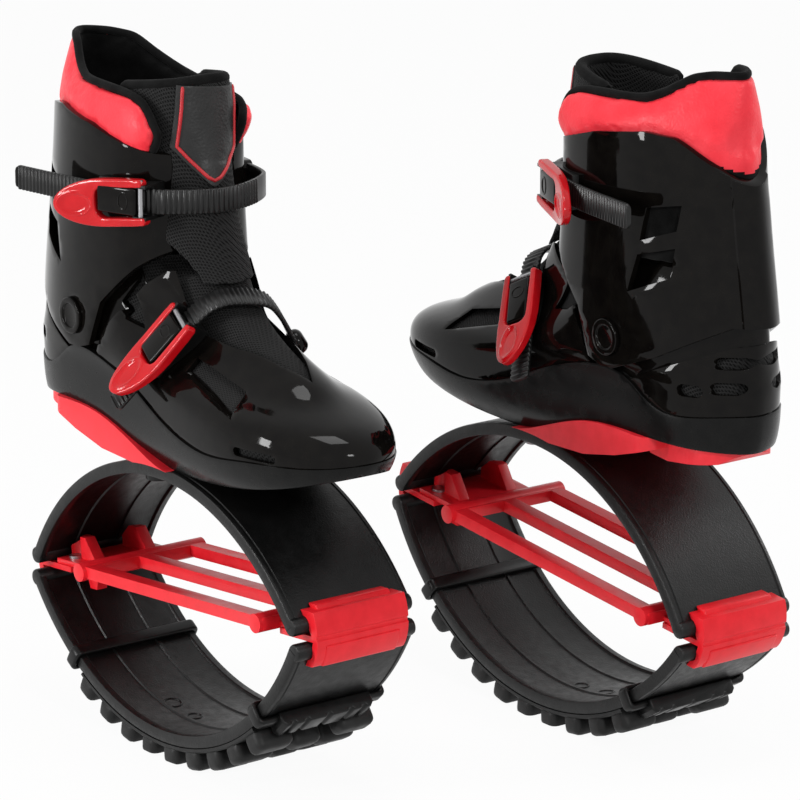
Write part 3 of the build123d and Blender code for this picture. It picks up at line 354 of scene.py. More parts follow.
# %% Frame pieces that stay as they are
inside = {"mounting_bolts": "bolt_steel", "clamp_screws": "bolt_steel", "footbed": "plush"}
for side in ("right", "left"):
    for name, look in inside.items():
        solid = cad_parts[f"{side}_{name}"]
        solid.data.materials.clear()
        solid.data.materials.append(finish[look])
print("frame pieces have their materials")

# %% [markdown]
# The left shoe is the mirror image of the right one and stands beside it, so each piece is
# modelled once, on the right shoe. Its mirrored copy gets its faces turned outwards again, and
# both ride on their own side's body and stand for their own side's solids.

# %% Modelling helpers
left_place = Matrix.Translation((0.074, 0.214, 0)) @ Matrix.Scale(-1, 4, (1, 0, 0))
bevel_angle = math.radians(38)


def pick(piece):
    """Selects one object alone and makes it active."""
    bpy.ops.object.select_all(action="DESELECT")
    piece.select_set(True)
    bpy.context.view_layer.objects.active = piece


@contextmanager
def editing(piece):
    """Edit mode on one piece, with everything selected."""
    pick(piece)
    bpy.ops.object.mode_set(mode="EDIT")
    bpy.ops.mesh.select_all(action="SELECT")
    yield
    bpy.ops.object.mode_set(mode="OBJECT")


def apply_all(piece):
    """Applies the piece's modifiers in order."""
    pick(piece)
    for modifier in list(piece.modifiers):
        bpy.ops.object.modifier_apply(modifier=modifier.name)


def settle(piece):
    """Puts the piece's place into its mesh."""
    pick(piece)
    bpy.ops.object.transform_apply(location=True, rotation=True, scale=True)


def cylinder(radius, depth, place, vertices, turn=0.0):
    """A cylinder at a place, upright or turned about X, with its place in its mesh."""
    bpy.ops.object.select_all(action="DESELECT")
    bpy.ops.mesh.primitive_cylinder_add(
        vertices=vertices, radius=radius, depth=depth, location=place, rotation=(turn, 0, 0)
    )
    piece = bpy.context.object
    settle(piece)
    return piece


def block(place, size):
    """A box of a size at a place, with its place in its mesh."""
    bpy.ops.object.select_all(action="DESELECT")
    bpy.ops.mesh.primitive_cube_add(size=1, location=place, scale=size)
    piece = bpy.context.object
    settle(piece)
    return piece


def join(name, parts):
    """Joins parts into one piece with a name."""
    bpy.ops.object.select_all(action="DESELECT")
    for part in parts:
        part.select_set(True)
    bpy.context.view_layer.objects.active = parts[0]
    if len(parts) > 1:
        bpy.ops.object.join()
    piece = bpy.context.object
    piece.name = name
    settle(piece)
    return piece


def round_edges(piece, width, segments=2, angle=bevel_angle):
    """Rounds the piece's sharp edges and shades the rest smooth."""
    bevel = piece.modifiers.new("edge", "BEVEL")
    bevel.width = width
    bevel.segments = segments
    bevel.limit_method = "ANGLE"
    bevel.angle_limit = angle
    apply_all(piece)
    shade(piece)


def shade(piece, angle=math.radians(40)):
    """Smooth shading below an angle."""
    pick(piece)
    bpy.ops.object.shade_smooth_by_angle(angle=angle)


def mesh_piece(name, points, faces):
    """A new mesh object from points and faces, with its faces turned outwards."""
    mesh = bpy.data.meshes.new(name)
    mesh.from_pydata(points, [], faces)
    piece = bpy.data.objects.new(name, mesh)
    bpy.context.scene.collection.objects.link(piece)
    turn_outwards(piece)
    return piece


def turn_outwards(piece):
    """Merges doubles, then makes every face point outwards."""
    with editing(piece):
        bpy.ops.mesh.remove_doubles(threshold=0.01 * mm)
        bpy.ops.mesh.normals_make_consistent(inside=False)


def mirrored(piece, name):
    """The left shoe's copy of a right shoe's piece."""
    copy = piece.copy()
    copy.data = piece.data.copy()
    copy.name = name
    bpy.context.scene.collection.objects.link(copy)
    copy.data.transform(left_place)
    copy.data.flip_normals()
    return copy


def both_shoes(piece, body, nodes=(), look=None, after=None):
    """Names the piece for the right shoe, copies it to the left, and fixes both to their bodies."""
    name = piece.name
    if look:
        piece.data.materials.clear()
        piece.data.materials.append(finish[look])
    pair = {"right": piece, "left": mirrored(piece, "left_" + name)}
    piece.name = "right_" + name
    for side, one in pair.items():
        if after:
            after(one, side)
        else:
            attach(one, f"{side}_{body}")
        if nodes:
            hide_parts(*[f"{side}_{node}" for node in nodes])
    print(name, "made with", len(piece.data.polygons), "faces")
    return pair


def cad_copy(node, side="right", gap=0.005 * mm, flatten=True):
    """A copy of a frame node, free to be worked on, with its loose triangles merged."""
    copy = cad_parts[f"{side}_{node}"].copy()
    copy.data = copy.data.copy()
    copy.parent = None
    copy.name = node
    for key in list(copy.keys()):
        del copy[key]
    bpy.context.scene.collection.objects.link(copy)
    with editing(copy):
        bpy.ops.mesh.remove_doubles(threshold=gap)
        if flatten:
            bpy.ops.mesh.dissolve_limited(angle_limit=math.radians(1.0))
    return copy


print("modelling helpers are ready")

# %% [markdown]
# The spring of each shoe is a lens of two plastic arches. Each arch has one section all along, so
# its outline is drawn once, with rounded corners, a fine line along each edge, raised rims and two
# low ribs inside, and then spun about the arch's centre. A bead closes each end. The arches flatten
# under load.

# %% Section of an arch
loop_lean = math.radians(5.3)
loop_height = 98.5 * mm
loop_turn = Matrix.Translation((0, 0, loop_height)) @ Matrix.Rotation(-loop_lean, 4, "Y")
arch_radius = 160 * mm
arch_wall = 6 * mm
arch_half = 40.5 * mm
rim_depth = 1.6 * mm
rim_width = 5 * mm
bead_radius = 5 * mm
upper_centre = -83 * mm
lower_centre = 72 * mm
upper_end = (131.35 * mm, 3 * mm)
lower_end = (133.27 * mm, -11 * mm)
arch_steps = 56


def arch_section():
    """Half outline of an arch from the middle outside to the middle inside, then its mirror."""
    outer, inner = arch_radius, arch_radius - arch_wall
    rim = inner - rim_depth
    line = arch_half - 3.6 * mm
    rib = 15 * mm
    half = [
        (0, outer), (line - 0.9 * mm, outer), (line - 0.4 * mm, outer - 0.6 * mm),
        (line + 0.4 * mm, outer - 0.6 * mm), (line + 0.9 * mm, outer), (arch_half - 1.3 * mm, outer),
        (arch_half - 0.4 * mm, outer - 0.4 * mm), (arch_half, outer - 1.3 * mm),
        (arch_half, rim + 1.1 * mm), (arch_half - 0.3 * mm, rim + 0.3 * mm), (arch_half - 1.1 * mm, rim),
        (arch_half - rim_width + 0.8 * mm, rim), (arch_half - rim_width, rim + 0.6 * mm),
        (arch_half - rim_width - 0.4 * mm, inner - 0.2 * mm), (arch_half - rim_width - 1.2 * mm, inner),
        (rib + 1.6 * mm, inner), (rib + 0.9 * mm, inner - 0.9 * mm), (rib - 0.9 * mm, inner - 0.9 * mm),
        (rib - 1.6 * mm, inner), (0, inner),
    ]
    return half + [(-y, r) for y, r in reversed(half[1:-1])]


def spun(name, section, centre, reach, upside):
    """A section spun about the arch's centre from one end of its reach to the other."""
    points = [(0, y, upside * r) for y, r in section]
    piece = mesh_piece(name, points, [list(range(len(points)))])
    piece.data.transform(Matrix.Rotation(reach, 4, "Y"))
    with editing(piece):
        bpy.ops.mesh.spin(steps=arch_steps, angle=2 * reach, center=(0, 0, 0), axis=(0, 1, 0))
    turn_outwards(piece)
    piece.data.transform(Matrix.Translation((0, 0, centre)))
    return piece


def bead(end, side):
    """The rolled bead at one end of an arch."""
    place = (side * end[0], 0, end[1])
    piece = cylinder(bead_radius, 2 * arch_half - 0.4 * mm, place, 28, math.radians(90))
    round_edges(piece, 1.4 * mm)
    return piece


def stand(piece):
    """Leans a piece back with the loop and lifts it to the clamps' height."""
    piece.data.transform(loop_turn)
    return piece


def bending():
    """Fixes a piece where it stands, its place put into its mesh; it rides on no body."""
    def fix(one, side):
        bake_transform(one)
    return fix


# %% Upper and lower arch
upper_reach = math.asin(upper_end[0] / (arch_radius - arch_wall / 2))
lower_reach = math.asin(lower_end[0] / (arch_radius - arch_wall / 2))
upper = spun("upper_arch", arch_section(), upper_centre, upper_reach, 1)
parts = [upper, bead(upper_end, -1), bead(upper_end, 1)]
upper = stand(join("upper_arch", parts))
boss_radius = 8.5 * mm
boss_spread = 20 * mm
for boss_x, boss_low, boss_high in ((24 * mm, 162.5 * mm, 170 * mm), (-26 * mm, 158.5 * mm, 167 * mm)):
    for boss_y in (-boss_spread, boss_spread):
        boss_place = (boss_x, boss_y, (boss_low + boss_high) / 2)
        boss = cylinder(boss_radius, boss_high - boss_low, boss_place, 32)
        round_edges(boss, 0.8 * mm)
        upper = join("upper_arch", [upper, boss])
shade(upper, math.radians(32))
both_shoes(
    upper, None, ["upper_arch"], "arch_grain",
    bending(),
)

lower = spun("lower_arch", arch_section(), lower_centre, lower_reach, -1)
parts = [lower, bead(lower_end, -1), bead(lower_end, 1)]
ring_radius = 5.2 * mm
for ring_x, ring_y, ring_size in ((-39 * mm, -10 * mm, 1.0), (-17 * mm, -10 * mm, 0.85)):
    turn = -math.asin(ring_x / (arch_radius - arch_wall))
    bpy.ops.mesh.primitive_torus_add(
        major_radius=ring_radius * ring_size, minor_radius=0.7 * mm, major_segments=28, minor_segments=8,
        location=(0, ring_y, -(arch_radius - arch_wall)),
    )
    ring = bpy.context.object
    settle(ring)
    ring.data.transform(Matrix.Translation((0, 0, lower_centre)) @ Matrix.Rotation(turn, 4, "Y"))
    parts.append(ring)
lower = stand(join("lower_arch", parts))
shade(lower, math.radians(32))
lower_bend = bending()
both_shoes(lower, None, ["lower_arch"], "arch_grain", lower_bend)

# %% [markdown]
# The tread is a rubber skin under the lower arch with three rows of rounded lugs. One lug is a
# block with strongly rounded edges, copied along the arc; where the shoe stands, the lugs are worn
# flat on the ground. Two rubber bands hold the tread, each with a notched pad outside.

# %% Tread
skin_gap = 0.1 * mm
skin_wall = 2.6 * mm
skin_reach = math.radians(33.5)
lug_height = 13.5 * mm
lug_width = 15.5 * mm
lug_pitch = math.radians(7.8)
edge_lug = 25 * mm
middle_lug = 20 * mm


def on_lower_arch(angle):
    """Turns a piece modelled straight below the centre to an angle along the lower arch."""
    return Matrix.Translation((0, 0, lower_centre)) @ Matrix.Rotation(-angle, 4, "Y")


def lug(length, across, angle):
    """One rounded lug at its place in the loop."""
    centre = arch_radius + skin_gap + lug_height / 2
    piece = block((0, across, -centre), (lug_width, length, lug_height))
    with editing(piece):
        bpy.ops.mesh.bevel(offset=4.6 * mm, segments=4, affect="EDGES")
    for vertex in piece.data.vertices:
        depth = -vertex.co.z - centre
        vertex.co.x *= 1 - 0.1 * math.cos(math.pi * depth / lug_height)
    piece.data.transform(on_lower_arch(angle))
    return piece


skin_section = [
    (-arch_half, arch_radius + skin_gap), (arch_half, arch_radius + skin_gap),
    (arch_half, arch_radius + skin_wall - 0.8 * mm), (arch_half - 0.8 * mm, arch_radius + skin_wall),
    (-arch_half + 0.8 * mm, arch_radius + skin_wall), (-arch_half, arch_radius + skin_wall - 0.8 * mm),
]
parts = [spun("tread", skin_section, lower_centre, skin_reach, -1)]
edge_place = arch_half - edge_lug / 2
for across, length, count in ((-edge_place, edge_lug, 9), (0, middle_lug, 8), (edge_place, edge_lug, 9)):
    for step in range(count):
        parts.append(lug(length, across, (step - (count - 1) / 2) * lug_pitch))
tread = stand(join("tread", parts))
for vertex in tread.data.vertices:
    vertex.co.z = max(vertex.co.z, 0)
shade(tread)
both_shoes(tread, None, ["tread"], "tread_rubber", lower_bend)

# %% Bands and their notched pads
band_angle = math.radians(37)
band_half = 4 * mm
pad_half = 31 * mm
pad_low = 0.3 * mm
pad_high = 9.3 * mm
pad_width = 14 * mm
notch_depth = 2 * mm
notch_half = 1.2 * mm


def rounded_rectangle(low_y, high_y, low_z, high_z, radius, steps=5):
    """Outline of a rectangle with round corners."""
    corners = (
        (high_y - radius, high_z - radius, 0), (low_y + radius, high_z - radius, 90),
        (low_y + radius, low_z + radius, 180), (high_y - radius, low_z + radius, 270),
    )
    outline = []
    for y, z, turn in corners:
        for step in range(steps + 1):
            angle = math.radians(turn + 90 * step / steps)
            outline.append((y + radius * math.cos(angle), z + radius * math.sin(angle)))
    return outline


def prism(name, outline, half, hole=None):
    """An outline in Y and Z made thick along X, with an optional hole of as many points."""
    rings = [outline] if hole is None else [outline, hole]
    points = []
    for ring in rings:
        for x in (-half, half):
            points += [(x, y, z) for y, z in ring]
    count = len(outline)
    faces = []
    for step in range(count):
        after = (step + 1) % count
        faces.append((step, after, count + after, count + step))
        if hole:
            base = 2 * count
            faces.append((base + step, base + count + step, base + count + after, base + after))
            faces.append((step, base + step, base + after, after))
            faces.append((count + step, count + after, base + count + after, base + count + step))
    if hole is None:
        faces += [list(range(count)), list(range(2 * count - 1, count - 1, -1))]
    return mesh_piece(name, points, faces)


def tread_band(angle):
    """One band round the arch and its pad, at an angle along the arch."""
    inside_low = -arch_radius - skin_gap
    inside_high = -arch_radius + arch_wall + rim_depth + skin_gap
    inner = rounded_rectangle(-arch_half - skin_gap, arch_half + skin_gap, inside_low, inside_high, 1.2 * mm)
    outer = rounded_rectangle(
        -arch_half - 3 * mm, arch_half + 3 * mm, inside_low - 4 * mm, inside_high + 3 * mm, 4 * mm
    )
    ring = prism("band", outer, band_half, inner)
    round_edges(ring, 1.5 * mm, 3)
    top = [(-pad_half, pad_low)]
    notches = [-24 * mm, -15 * mm, 0, 15 * mm, 24 * mm]
    top += [(-pad_half, pad_high - 2.5 * mm), (-pad_half + 2.5 * mm, pad_high)]
    for notch in notches:
        top += [
            (notch - notch_half - 0.6 * mm, pad_high), (notch - notch_half, pad_high - notch_depth),
            (notch + notch_half, pad_high - notch_depth), (notch + notch_half + 0.6 * mm, pad_high),
        ]
    top += [(pad_half - 2.5 * mm, pad_high), (pad_half, pad_high - 2.5 * mm), (pad_half, pad_low)]
    pad = prism("pad", [(y, -arch_radius - z) for y, z in top], pad_width / 2)
    round_edges(pad, 1.3 * mm, 3, math.radians(60))
    for one in (ring, pad):
        one.data.transform(on_lower_arch(angle))
    return [ring, pad]


bands = stand(join("tread_bands", tread_band(-band_angle) + tread_band(band_angle)))
both_shoes(bands, None, ["tread_bands"], "black_satin", lower_bend)

# %% [markdown]
# Many rigid pieces already have their true shape in the frame: clamps, elastic bars, wedge, buckle
# bases, an anchor and rivets. A merged copy of each gets what a mould gives every edge, a small
# radius, because light catches on it. A clamp's copy is cut below the rim of its upper lobe and
# drawn in at its nose, and each lobe gets a raised middle.

# %% Clamps
clamp_wall = 5 * mm
clamp_proud = 1.4 * mm
clamp_middle = 25 * mm
upper_cut = 11.5 * mm
nose_pull = 3 * mm
nose_start = 138 * mm
nose_length = 9 * mm
groove_height = -3 * mm
groove_reach = 16 * mm
lobes = ((1.5 * mm, 14 * mm, upper_centre), (-20.5 * mm, -8 * mm, lower_centre))


def clamp_lobe(low, high, centre):
    """A raised block along one arch between two heights in the loop's plane."""
    steps = 14
    points, faces = [], []
    for step in range(steps + 1):
        v = low + (high - low) * step / steps
        sunk = nose_pull * (1 - min(abs(v - groove_height) / groove_reach, 1)) ** 2
        for radius in (arch_radius + 0.4 * mm, arch_radius + clamp_wall + clamp_proud - sunk):
            u = math.sqrt(radius ** 2 - (v - centre) ** 2)
            points += [(u, -clamp_middle, v), (u, clamp_middle, v)]
    for a in range(0, 4 * steps, 4):
        sides = ((0, 1, 5, 4), (2, 6, 7, 3), (0, 4, 6, 2), (1, 3, 7, 5))
        faces += [[a + corner for corner in face] for face in sides]
    faces += [(0, 2, 3, 1), (4 * steps, 4 * steps + 1, 4 * steps + 3, 4 * steps + 2)]
    return mesh_piece("lobe", points, faces)


for end, name in ((1, "toe_clamp"), (-1, "heel_clamp")):
    clamp = cad_copy(name)
    cut_place = loop_turn @ Vector((0, 0, upper_cut))
    cut_normal = loop_turn.to_3x3() @ Vector((0, 0, 1))
    with editing(clamp):
        bpy.ops.mesh.bisect(plane_co=cut_place, plane_no=cut_normal, use_fill=True, clear_outer=True)
    for vertex in clamp.data.vertices:
        flat = loop_turn.inverted() @ vertex.co
        reach = abs(flat.x) - nose_start
        if reach > 0:
            flat.x = math.copysign(nose_start + reach * (1 - nose_pull / nose_length), flat.x)
            vertex.co = loop_turn @ flat
    turn_outwards(clamp)
    round_edges(clamp, 1.2 * mm, 3)
    for lobe in lobes:
        plate = clamp_lobe(*lobe)
        plate.data.transform(Matrix.Scale(end, 4, (1, 0, 0)))
        turn_outwards(plate)
        stand(plate)
        round_edges(plate, 0.9 * mm, 3)
        clamp = join(name, [clamp, plate])
    both_shoes(clamp, "clamps", [name], "red_satin")

# %% Elastic bars and small mouldings
for side in ("right", "left"):
    bars = cad_copy("spring_bars", side)
    bars.name = f"{side}_elastic_bars"
    round_edges(bars, 0.9 * mm, 3)
    bars.data.materials.clear()
    bars.data.materials.append(finish["red_satin"])
    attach(bars, f"{side}_clamps")
    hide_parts(f"{side}_spring_bars")
    print(bars.name, "made with", len(bars.data.polygons), "faces")

cuff_lift = 2.8 * mm
for name, body, look, slot, width, lift in (
    ("wedge_plate", "boot", "red_wedge", "red_plastic", 1.2 * mm, 0),
    ("cuff_rivets", "boot", "black_gloss", "black_gloss", 0.9 * mm, 0),
    ("cuff_buckle_base", "cuff_body", "black_satin", "black_matte", 0.5 * mm, cuff_lift),
    ("instep_buckle_base", "boot", "black_satin", "black_matte", 0.5 * mm, 0),
    ("cuff_strap_anchor", "cuff_body", "black_gloss", "black_matte", 1.0 * mm, 0),
):
    piece = cad_copy(name)
    piece.data.transform(Matrix.Translation((0, 0, lift)))
    round_edges(piece, width, 3)
    both_shoes(piece, body, [name], look)

# %% [markdown]
# The hard boot is two polished mouldings and a cuff. Their curved skins are copied from the frame
# as they are, and only the rims of openings and windows are rounded. The cuff's top edge dips at
# the back, so its vertices there are moved down, more the higher and the further back they are.

# %% Shell, sole and cuff
rim_round = 0.5 * mm
dip_depth = 9 * mm
dip_front, dip_length = -108 * mm, 30 * mm
dip_low, dip_height = 326 * mm, 28 * mm


def share(value, start, length):
    """How much of a length past its start a value covers, from 0 to 1."""
    return min(max((value - start) / length, 0), 1)


def moulding(name):
    """A merged copy of a hard moulding whose rims are rounded; its curved skin stays as it is."""
    piece = cad_copy(name, gap=0.02 * mm, flatten=False)
    round_edges(piece, rim_round, 2, math.radians(50))
    shade(piece, math.radians(35))
    return piece


both_shoes(moulding("shell"), "boot", ["shell"], "black_gloss")
both_shoes(moulding("sole_base"), "boot", ["sole_base"], "black_base")
cuff = moulding("cuff")
for vertex in cuff.data.vertices:
    behind = share(dip_front - vertex.co.x, 0, dip_length)
    high = share(vertex.co.z, dip_low, dip_height)
    vertex.co.z -= dip_depth * behind ** 2 * (3 - 2 * behind) * high ** 2 * (3 - 2 * high)
both_shoes(cuff, "cuff_body", ["cuff"], "black_gloss")

# %% [markdown]
# A buckle is a red lever like a drop: a broad plate with a thumb oval runs out into two arms that
# hold the pin, with the black release button between them. The outline is drawn once in the
# buckle's own plane and made thick. An even net of small faces, smoothed a few times, rounds it as
# a polished casting, and it is then lifted towards its tip.

# %% Buckle planes


def even_net(piece, voxel, rounds):
    """Cuts a closed piece into an even net of small faces and smooths it."""
    remesh = piece.modifiers.new("net", "REMESH")
    remesh.mode = "VOXEL"
    remesh.voxel_size = voxel
    remesh.use_smooth_shade = True
    smooth = piece.modifiers.new("flow", "SMOOTH")
    smooth.factor = 0.5
    smooth.iterations = rounds
    apply_all(piece)


def buckle_frame(origin, along, outward):
    """Matrix of a buckle's plane: X towards the tip, Z outwards."""
    x = Vector(along).normalized()
    z = Vector(outward).normalized()
    y = z.cross(x)
    turn = Matrix((x, y, z)).transposed().to_4x4()
    return Matrix.Translation(Vector(origin)) @ turn


cuff_turn = math.radians(20)
cuff_buckle = buckle_frame(
    (-11 * mm, -34.5 * mm, 323.5 * mm + cuff_lift),
    (-math.cos(cuff_turn), -math.sin(cuff_turn), 0),
    (math.sin(cuff_turn), -math.cos(cuff_turn), 0),
)
instep_pivot = Vector((18.5, -27.7, 259.7)) * mm
instep_tip = Vector((-9.3, -55.1, 214.2)) * mm
instep_knob = Vector((25.5, 41.0, 243.0)) * mm
instep_down = (instep_tip - instep_pivot).normalized()
instep_over = (instep_knob - instep_pivot).normalized()
instep_across = instep_down.cross(instep_over).normalized()
instep_buckle = buckle_frame(instep_pivot, instep_down, instep_down.cross(instep_across))
print("buckles stand at", tuple(cuff_buckle.translation), "and", tuple(instep_buckle.translation))

# %% Outline of a lever
lever_low, lever_top = 4.0 * mm, 10.4 * mm
lever_heel, lever_tip = -3.2 * mm, 57 * mm
arm_end = 26 * mm
arm_half, arm_swell, arm_wave = 13.0 * mm, 0.7 * mm, 58.4 * mm
heel_cut = 1.5 * mm
arm_inside = 8.6 * mm
window_end = 30.5 * mm


def lever_half(s):
    """Half width of the lever at a place along it, like a drop with parallel arms."""
    if s < arm_end:
        return arm_half + arm_swell * math.sin(math.pi * (s - lever_heel) / arm_wave)
    part = (s - arm_end) / (lever_tip - arm_end)
    return (arm_half + arm_swell) * math.sqrt(max(1 - part ** 2, 0))


def lever_outline():
    """Outline of the lever seen from outside, round its tip and into the window."""
    steps = 30
    start = lever_heel + heel_cut
    along = [start + (lever_tip - start) * math.sin(math.pi / 2 * step / steps) for step in range(steps + 1)]
    outer = [(s, -lever_half(s)) for s in along]
    back = [(s, -t) for s, t in reversed(outer[:-1])]
    window = [
        (lever_heel, lever_half(lever_heel) - heel_cut), (lever_heel, arm_inside + 1.0 * mm),
        (lever_heel + 1.0 * mm, arm_inside), (window_end - 4 * mm, arm_inside),
        (window_end - 1.2 * mm, arm_inside - 1.6 * mm), (window_end, arm_inside - 4.5 * mm),
    ]
    far = [(s, -t) for s, t in reversed(window)]
    return outer + back + window + far


# %% Levers, pins and buttons
oval_place, oval_long, oval_wide = 43 * mm, 11 * mm, 6.4 * mm
button_place, button_size = (15.6 * mm, 0, 8.4 * mm), (26.6 * mm, 15.8 * mm, 4.4 * mm)
thumb_place, thumb_size = (10.5 * mm, 0, 10.55 * mm), (3.2 * mm, 4.8 * mm, 3 * mm, 1)
pin_place, pin_radius, pin_length = (0, 0, 7.8 * mm), 1.5 * mm, 25.6 * mm


def lever_rise(s, t, high):
    """How far the plate lifts at a place along and across, and at a share of its thickness."""
    tip_lift = 3.4 * mm * share(s, 24 * mm, lever_tip - 24 * mm) ** 1.6
    thin = share(s, 22 * mm, 30 * mm)
    dome = 1.2 * mm * high * (1 - min(abs(t) / arm_half, 1) ** 2)
    oval = math.hypot((s - oval_place) / oval_long, t / oval_wide)
    ring = max(1 - abs(oval - 1) * 7, 0)
    dish = max(1 - oval, 0)
    thumb_dish = 0.55 * mm * ring - 0.9 * mm * min(dish * 3, 1)
    return tip_lift + (1 - high) * thin * 2.4 * mm + dome * thin + high ** 4 * thumb_dish


def lever(place, tilt):
    """The red lever in a buckle's plane, turned a little in it."""
    outline = lever_outline()
    count = len(outline)
    points = [(s, t, lever_low) for s, t in outline] + [(s, t, lever_top) for s, t in outline]
    faces = [list(range(count - 1, -1, -1)), list(range(count, 2 * count))]
    faces += [(k, (k + 1) % count, count + (k + 1) % count, count + k) for k in range(count)]
    piece = mesh_piece("lever", points, faces)
    even_net(piece, 0.55 * mm, 9)
    for vertex in piece.data.vertices:
        high = share(vertex.co.z, lever_low, lever_top - lever_low)
        vertex.co.z += lever_rise(vertex.co.x, vertex.co.y, high)
    piece.data.transform(place @ Matrix.Rotation(tilt, 4, "Z"))
    shade(piece, math.radians(60))
    return piece


def button(place):
    """The release button with its raised thumb oval."""
    key = block(button_place, button_size)
    round_edges(key, 1.5 * mm, 4)
    bpy.ops.mesh.primitive_torus_add(
        major_radius=1, minor_radius=0.14, major_segments=32, minor_segments=8, location=(0, 0, 0)
    )
    oval = bpy.context.object
    oval.data.transform(Matrix.Translation(thumb_place) @ Matrix.Diagonal(thumb_size))
    piece = join("button", [key, oval])
    piece.data.transform(place)
    shade(piece)
    return piece


for name, place, tilt, body in (
    ("cuff", cuff_buckle, math.radians(6.5), "cuff_body"),
    ("instep", instep_buckle, math.radians(2.5), "boot"),
):
    pin = cylinder(pin_radius, pin_length, pin_place, 24, math.radians(90))
    pin.data.transform(place)
    pin.name = f"{name}_pin"
    shade(pin)
    both_shoes(pin, body, [f"{name}_buckle_pin"], "bolt_steel")
    drop = lever(place, tilt)
    drop.name = f"{name}_lever"
    both_shoes(drop, f"{name}_lever_body", [f"{name}_buckle_lever"], "red_gloss")
    press = button(place)
    press.name = f"{name}_button"
    both_shoes(press, f"{name}_button_body", [f"{name}_buckle_button"], "black_gloss")

# %% [markdown]
# The ratchet straps are flat bands with fine ribs across them, rounded at the free end. Each strap
# is a section laid along its route: the section's outer side rises at every rib.

# %% Ribbed straps
strap_half, strap_thick = 7 * mm, 2.0 * mm
strap_edge, strap_round = 0.5 * mm, 3 * mm
strap_middle = 2.8 * mm
rib_pitch, rib_rise = 3.0 * mm, 0.8 * mm


def rounded_route(points, rounds=3):
    """Cuts the corners of a route a few times, keeping its ends."""
    for _ in range(rounds):
        cut = [points[0]]
        for first, second in zip(points, points[1:]):
            cut += [first.lerp(second, 0.25), first.lerp(second, 0.75)]
        points = cut + [points[-1]]
    return points


def even_route(points, step):
    """Points an even step apart along a route."""
    lengths = [0.0]
    for first, second in zip(points, points[1:]):
        lengths.append(lengths[-1] + (second - first).length)
    count = int(lengths[-1] / step)
    even, index = [], 0
    for k in range(count + 1):
        target = lengths[-1] * k / count
        while index < len(points) - 2 and lengths[index + 1] < target:
            index += 1
        span = max(lengths[index + 1] - lengths[index], 1e-9)
        even.append(points[index].lerp(points[index + 1], (target - lengths[index]) / span))
    return even, lengths[-1]


def along_route(name, stations, sections, smooth):
    """A closed skin over one ring of points at each station of a route."""
    count = len(sections[0])
    points = [point for ring in sections for point in ring]
    faces = []
    for a in range(0, count * (len(stations) - 1), count):
        b = a + count
        faces += [(a + j, a + (j + 1) % count, b + (j + 1) % count, b + j) for j in range(count)]
    faces += [list(range(count)), list(range(len(points) - 1, len(points) - count - 1, -1))]
    piece = mesh_piece(name, points, faces)
    shade(piece, smooth)
    return piece


def heading(route, k):
    """Direction of a route at one of its points."""
    before, after = route[max(k - 1, 0)], route[min(k + 1, len(route) - 1)]
    return (after - before).normalized()


def strap(name, route, across, out_sign, smooth_from):
    """A ribbed strap along a route; across is its width's direction."""
    stations, length = even_route(route, 0.5 * mm)
    sections = []
    for k, spot in enumerate(stations):
        outward = heading(stations, k).cross(across).normalized() * out_sign
        along = length * k / (len(stations) - 1)
        phase = (along % rib_pitch) / rib_pitch
        rib = rib_rise * min(max(2.2 * math.cos(2 * math.pi * phase) * 0.5 + 0.5, 0), 1)
        if along > smooth_from:
            rib = rib_rise * 0.5
        half = strap_half
        if along < strap_round:
            half -= strap_round - math.sqrt(max(strap_round ** 2 - (strap_round - along) ** 2, 0))
        bottom, top, inset = -strap_thick / 2, strap_thick / 2 + rib, half - strap_edge
        outline = (
            (-half, bottom + strap_edge), (-inset, bottom), (inset, bottom), (half, bottom + strap_edge),
            (half, top - strap_edge), (inset, top), (-inset, top), (-half, top - strap_edge),
        )
        sections.append([spot + across * y + outward * z for y, z in outline])
    return along_route(name, stations, sections, math.radians(50))


print("strap helpers are ready")

# %% Straps on their routes
strap_level = cuff_buckle.translation.z
cuff_nose = (
    (2, -24), (8.8, -14), (12.6, -4), (12.6, 6), (9.5, 17), (4, 27.5), (-3.2, 37.5), (-12, 44.5), (-44, 49.8)
)
route = [Vector((-108 * mm, -60.5 * mm, strap_level))]
route += [cuff_buckle @ Vector((s, 0, strap_middle)) for s in (38 * mm, -4.5 * mm)]
route += [Vector((x * mm, y * mm, strap_level)) for x, y in cuff_nose]
cuff_band = strap("cuff_strap", rounded_route(route, 2), Vector((0, 0, 1)), 1, 175 * mm)
both_shoes(cuff_band, "cuff_body", ["cuff_strap"], "strap_plastic")

over_plane = buckle_frame(instep_pivot, instep_over, instep_across)
instep_far = ((9, 19.5), (22, 22.8), (38, 24), (48, 17.5), (60, 6.5), (71, -5))
route = [instep_buckle @ Vector((s, 0, strap_middle)) for s in (64 * mm, -9 * mm)]
route += [over_plane @ Vector((u * mm, v * mm, 0)) for u, v in instep_far]
instep_band = strap("instep_strap", rounded_route(route, 3), instep_across, -1, 150 * mm)
both_shoes(instep_band, "boot", ["instep_strap"], "strap_plastic")

# %% Knob at the end of the instep strap
knob_radius, knob_height = 8.2 * mm, 9 * mm
knob_foot = over_plane @ Vector((69 * mm, -6 * mm, 0))
knob_out = over_plane.to_3x3() @ Vector((0.64, 0.77, 0))
knob = cylinder(knob_radius, knob_height, (0, 0, knob_height / 2), 48)
for vertex in knob.data.vertices:
    if vertex.co.z > knob_height / 2:
        vertex.co.xy *= 0.82
round_edges(knob, 0.42 * knob_height, 6, math.radians(30))
knob_turn = knob_out.to_track_quat("Z", "X").to_matrix().to_4x4()
knob.data.transform(Matrix.Translation(knob_foot) @ knob_turn)
knob.name = "instep_knob"
both_shoes(knob, "boot", ["instep_strap_anchor"], "black_gloss")

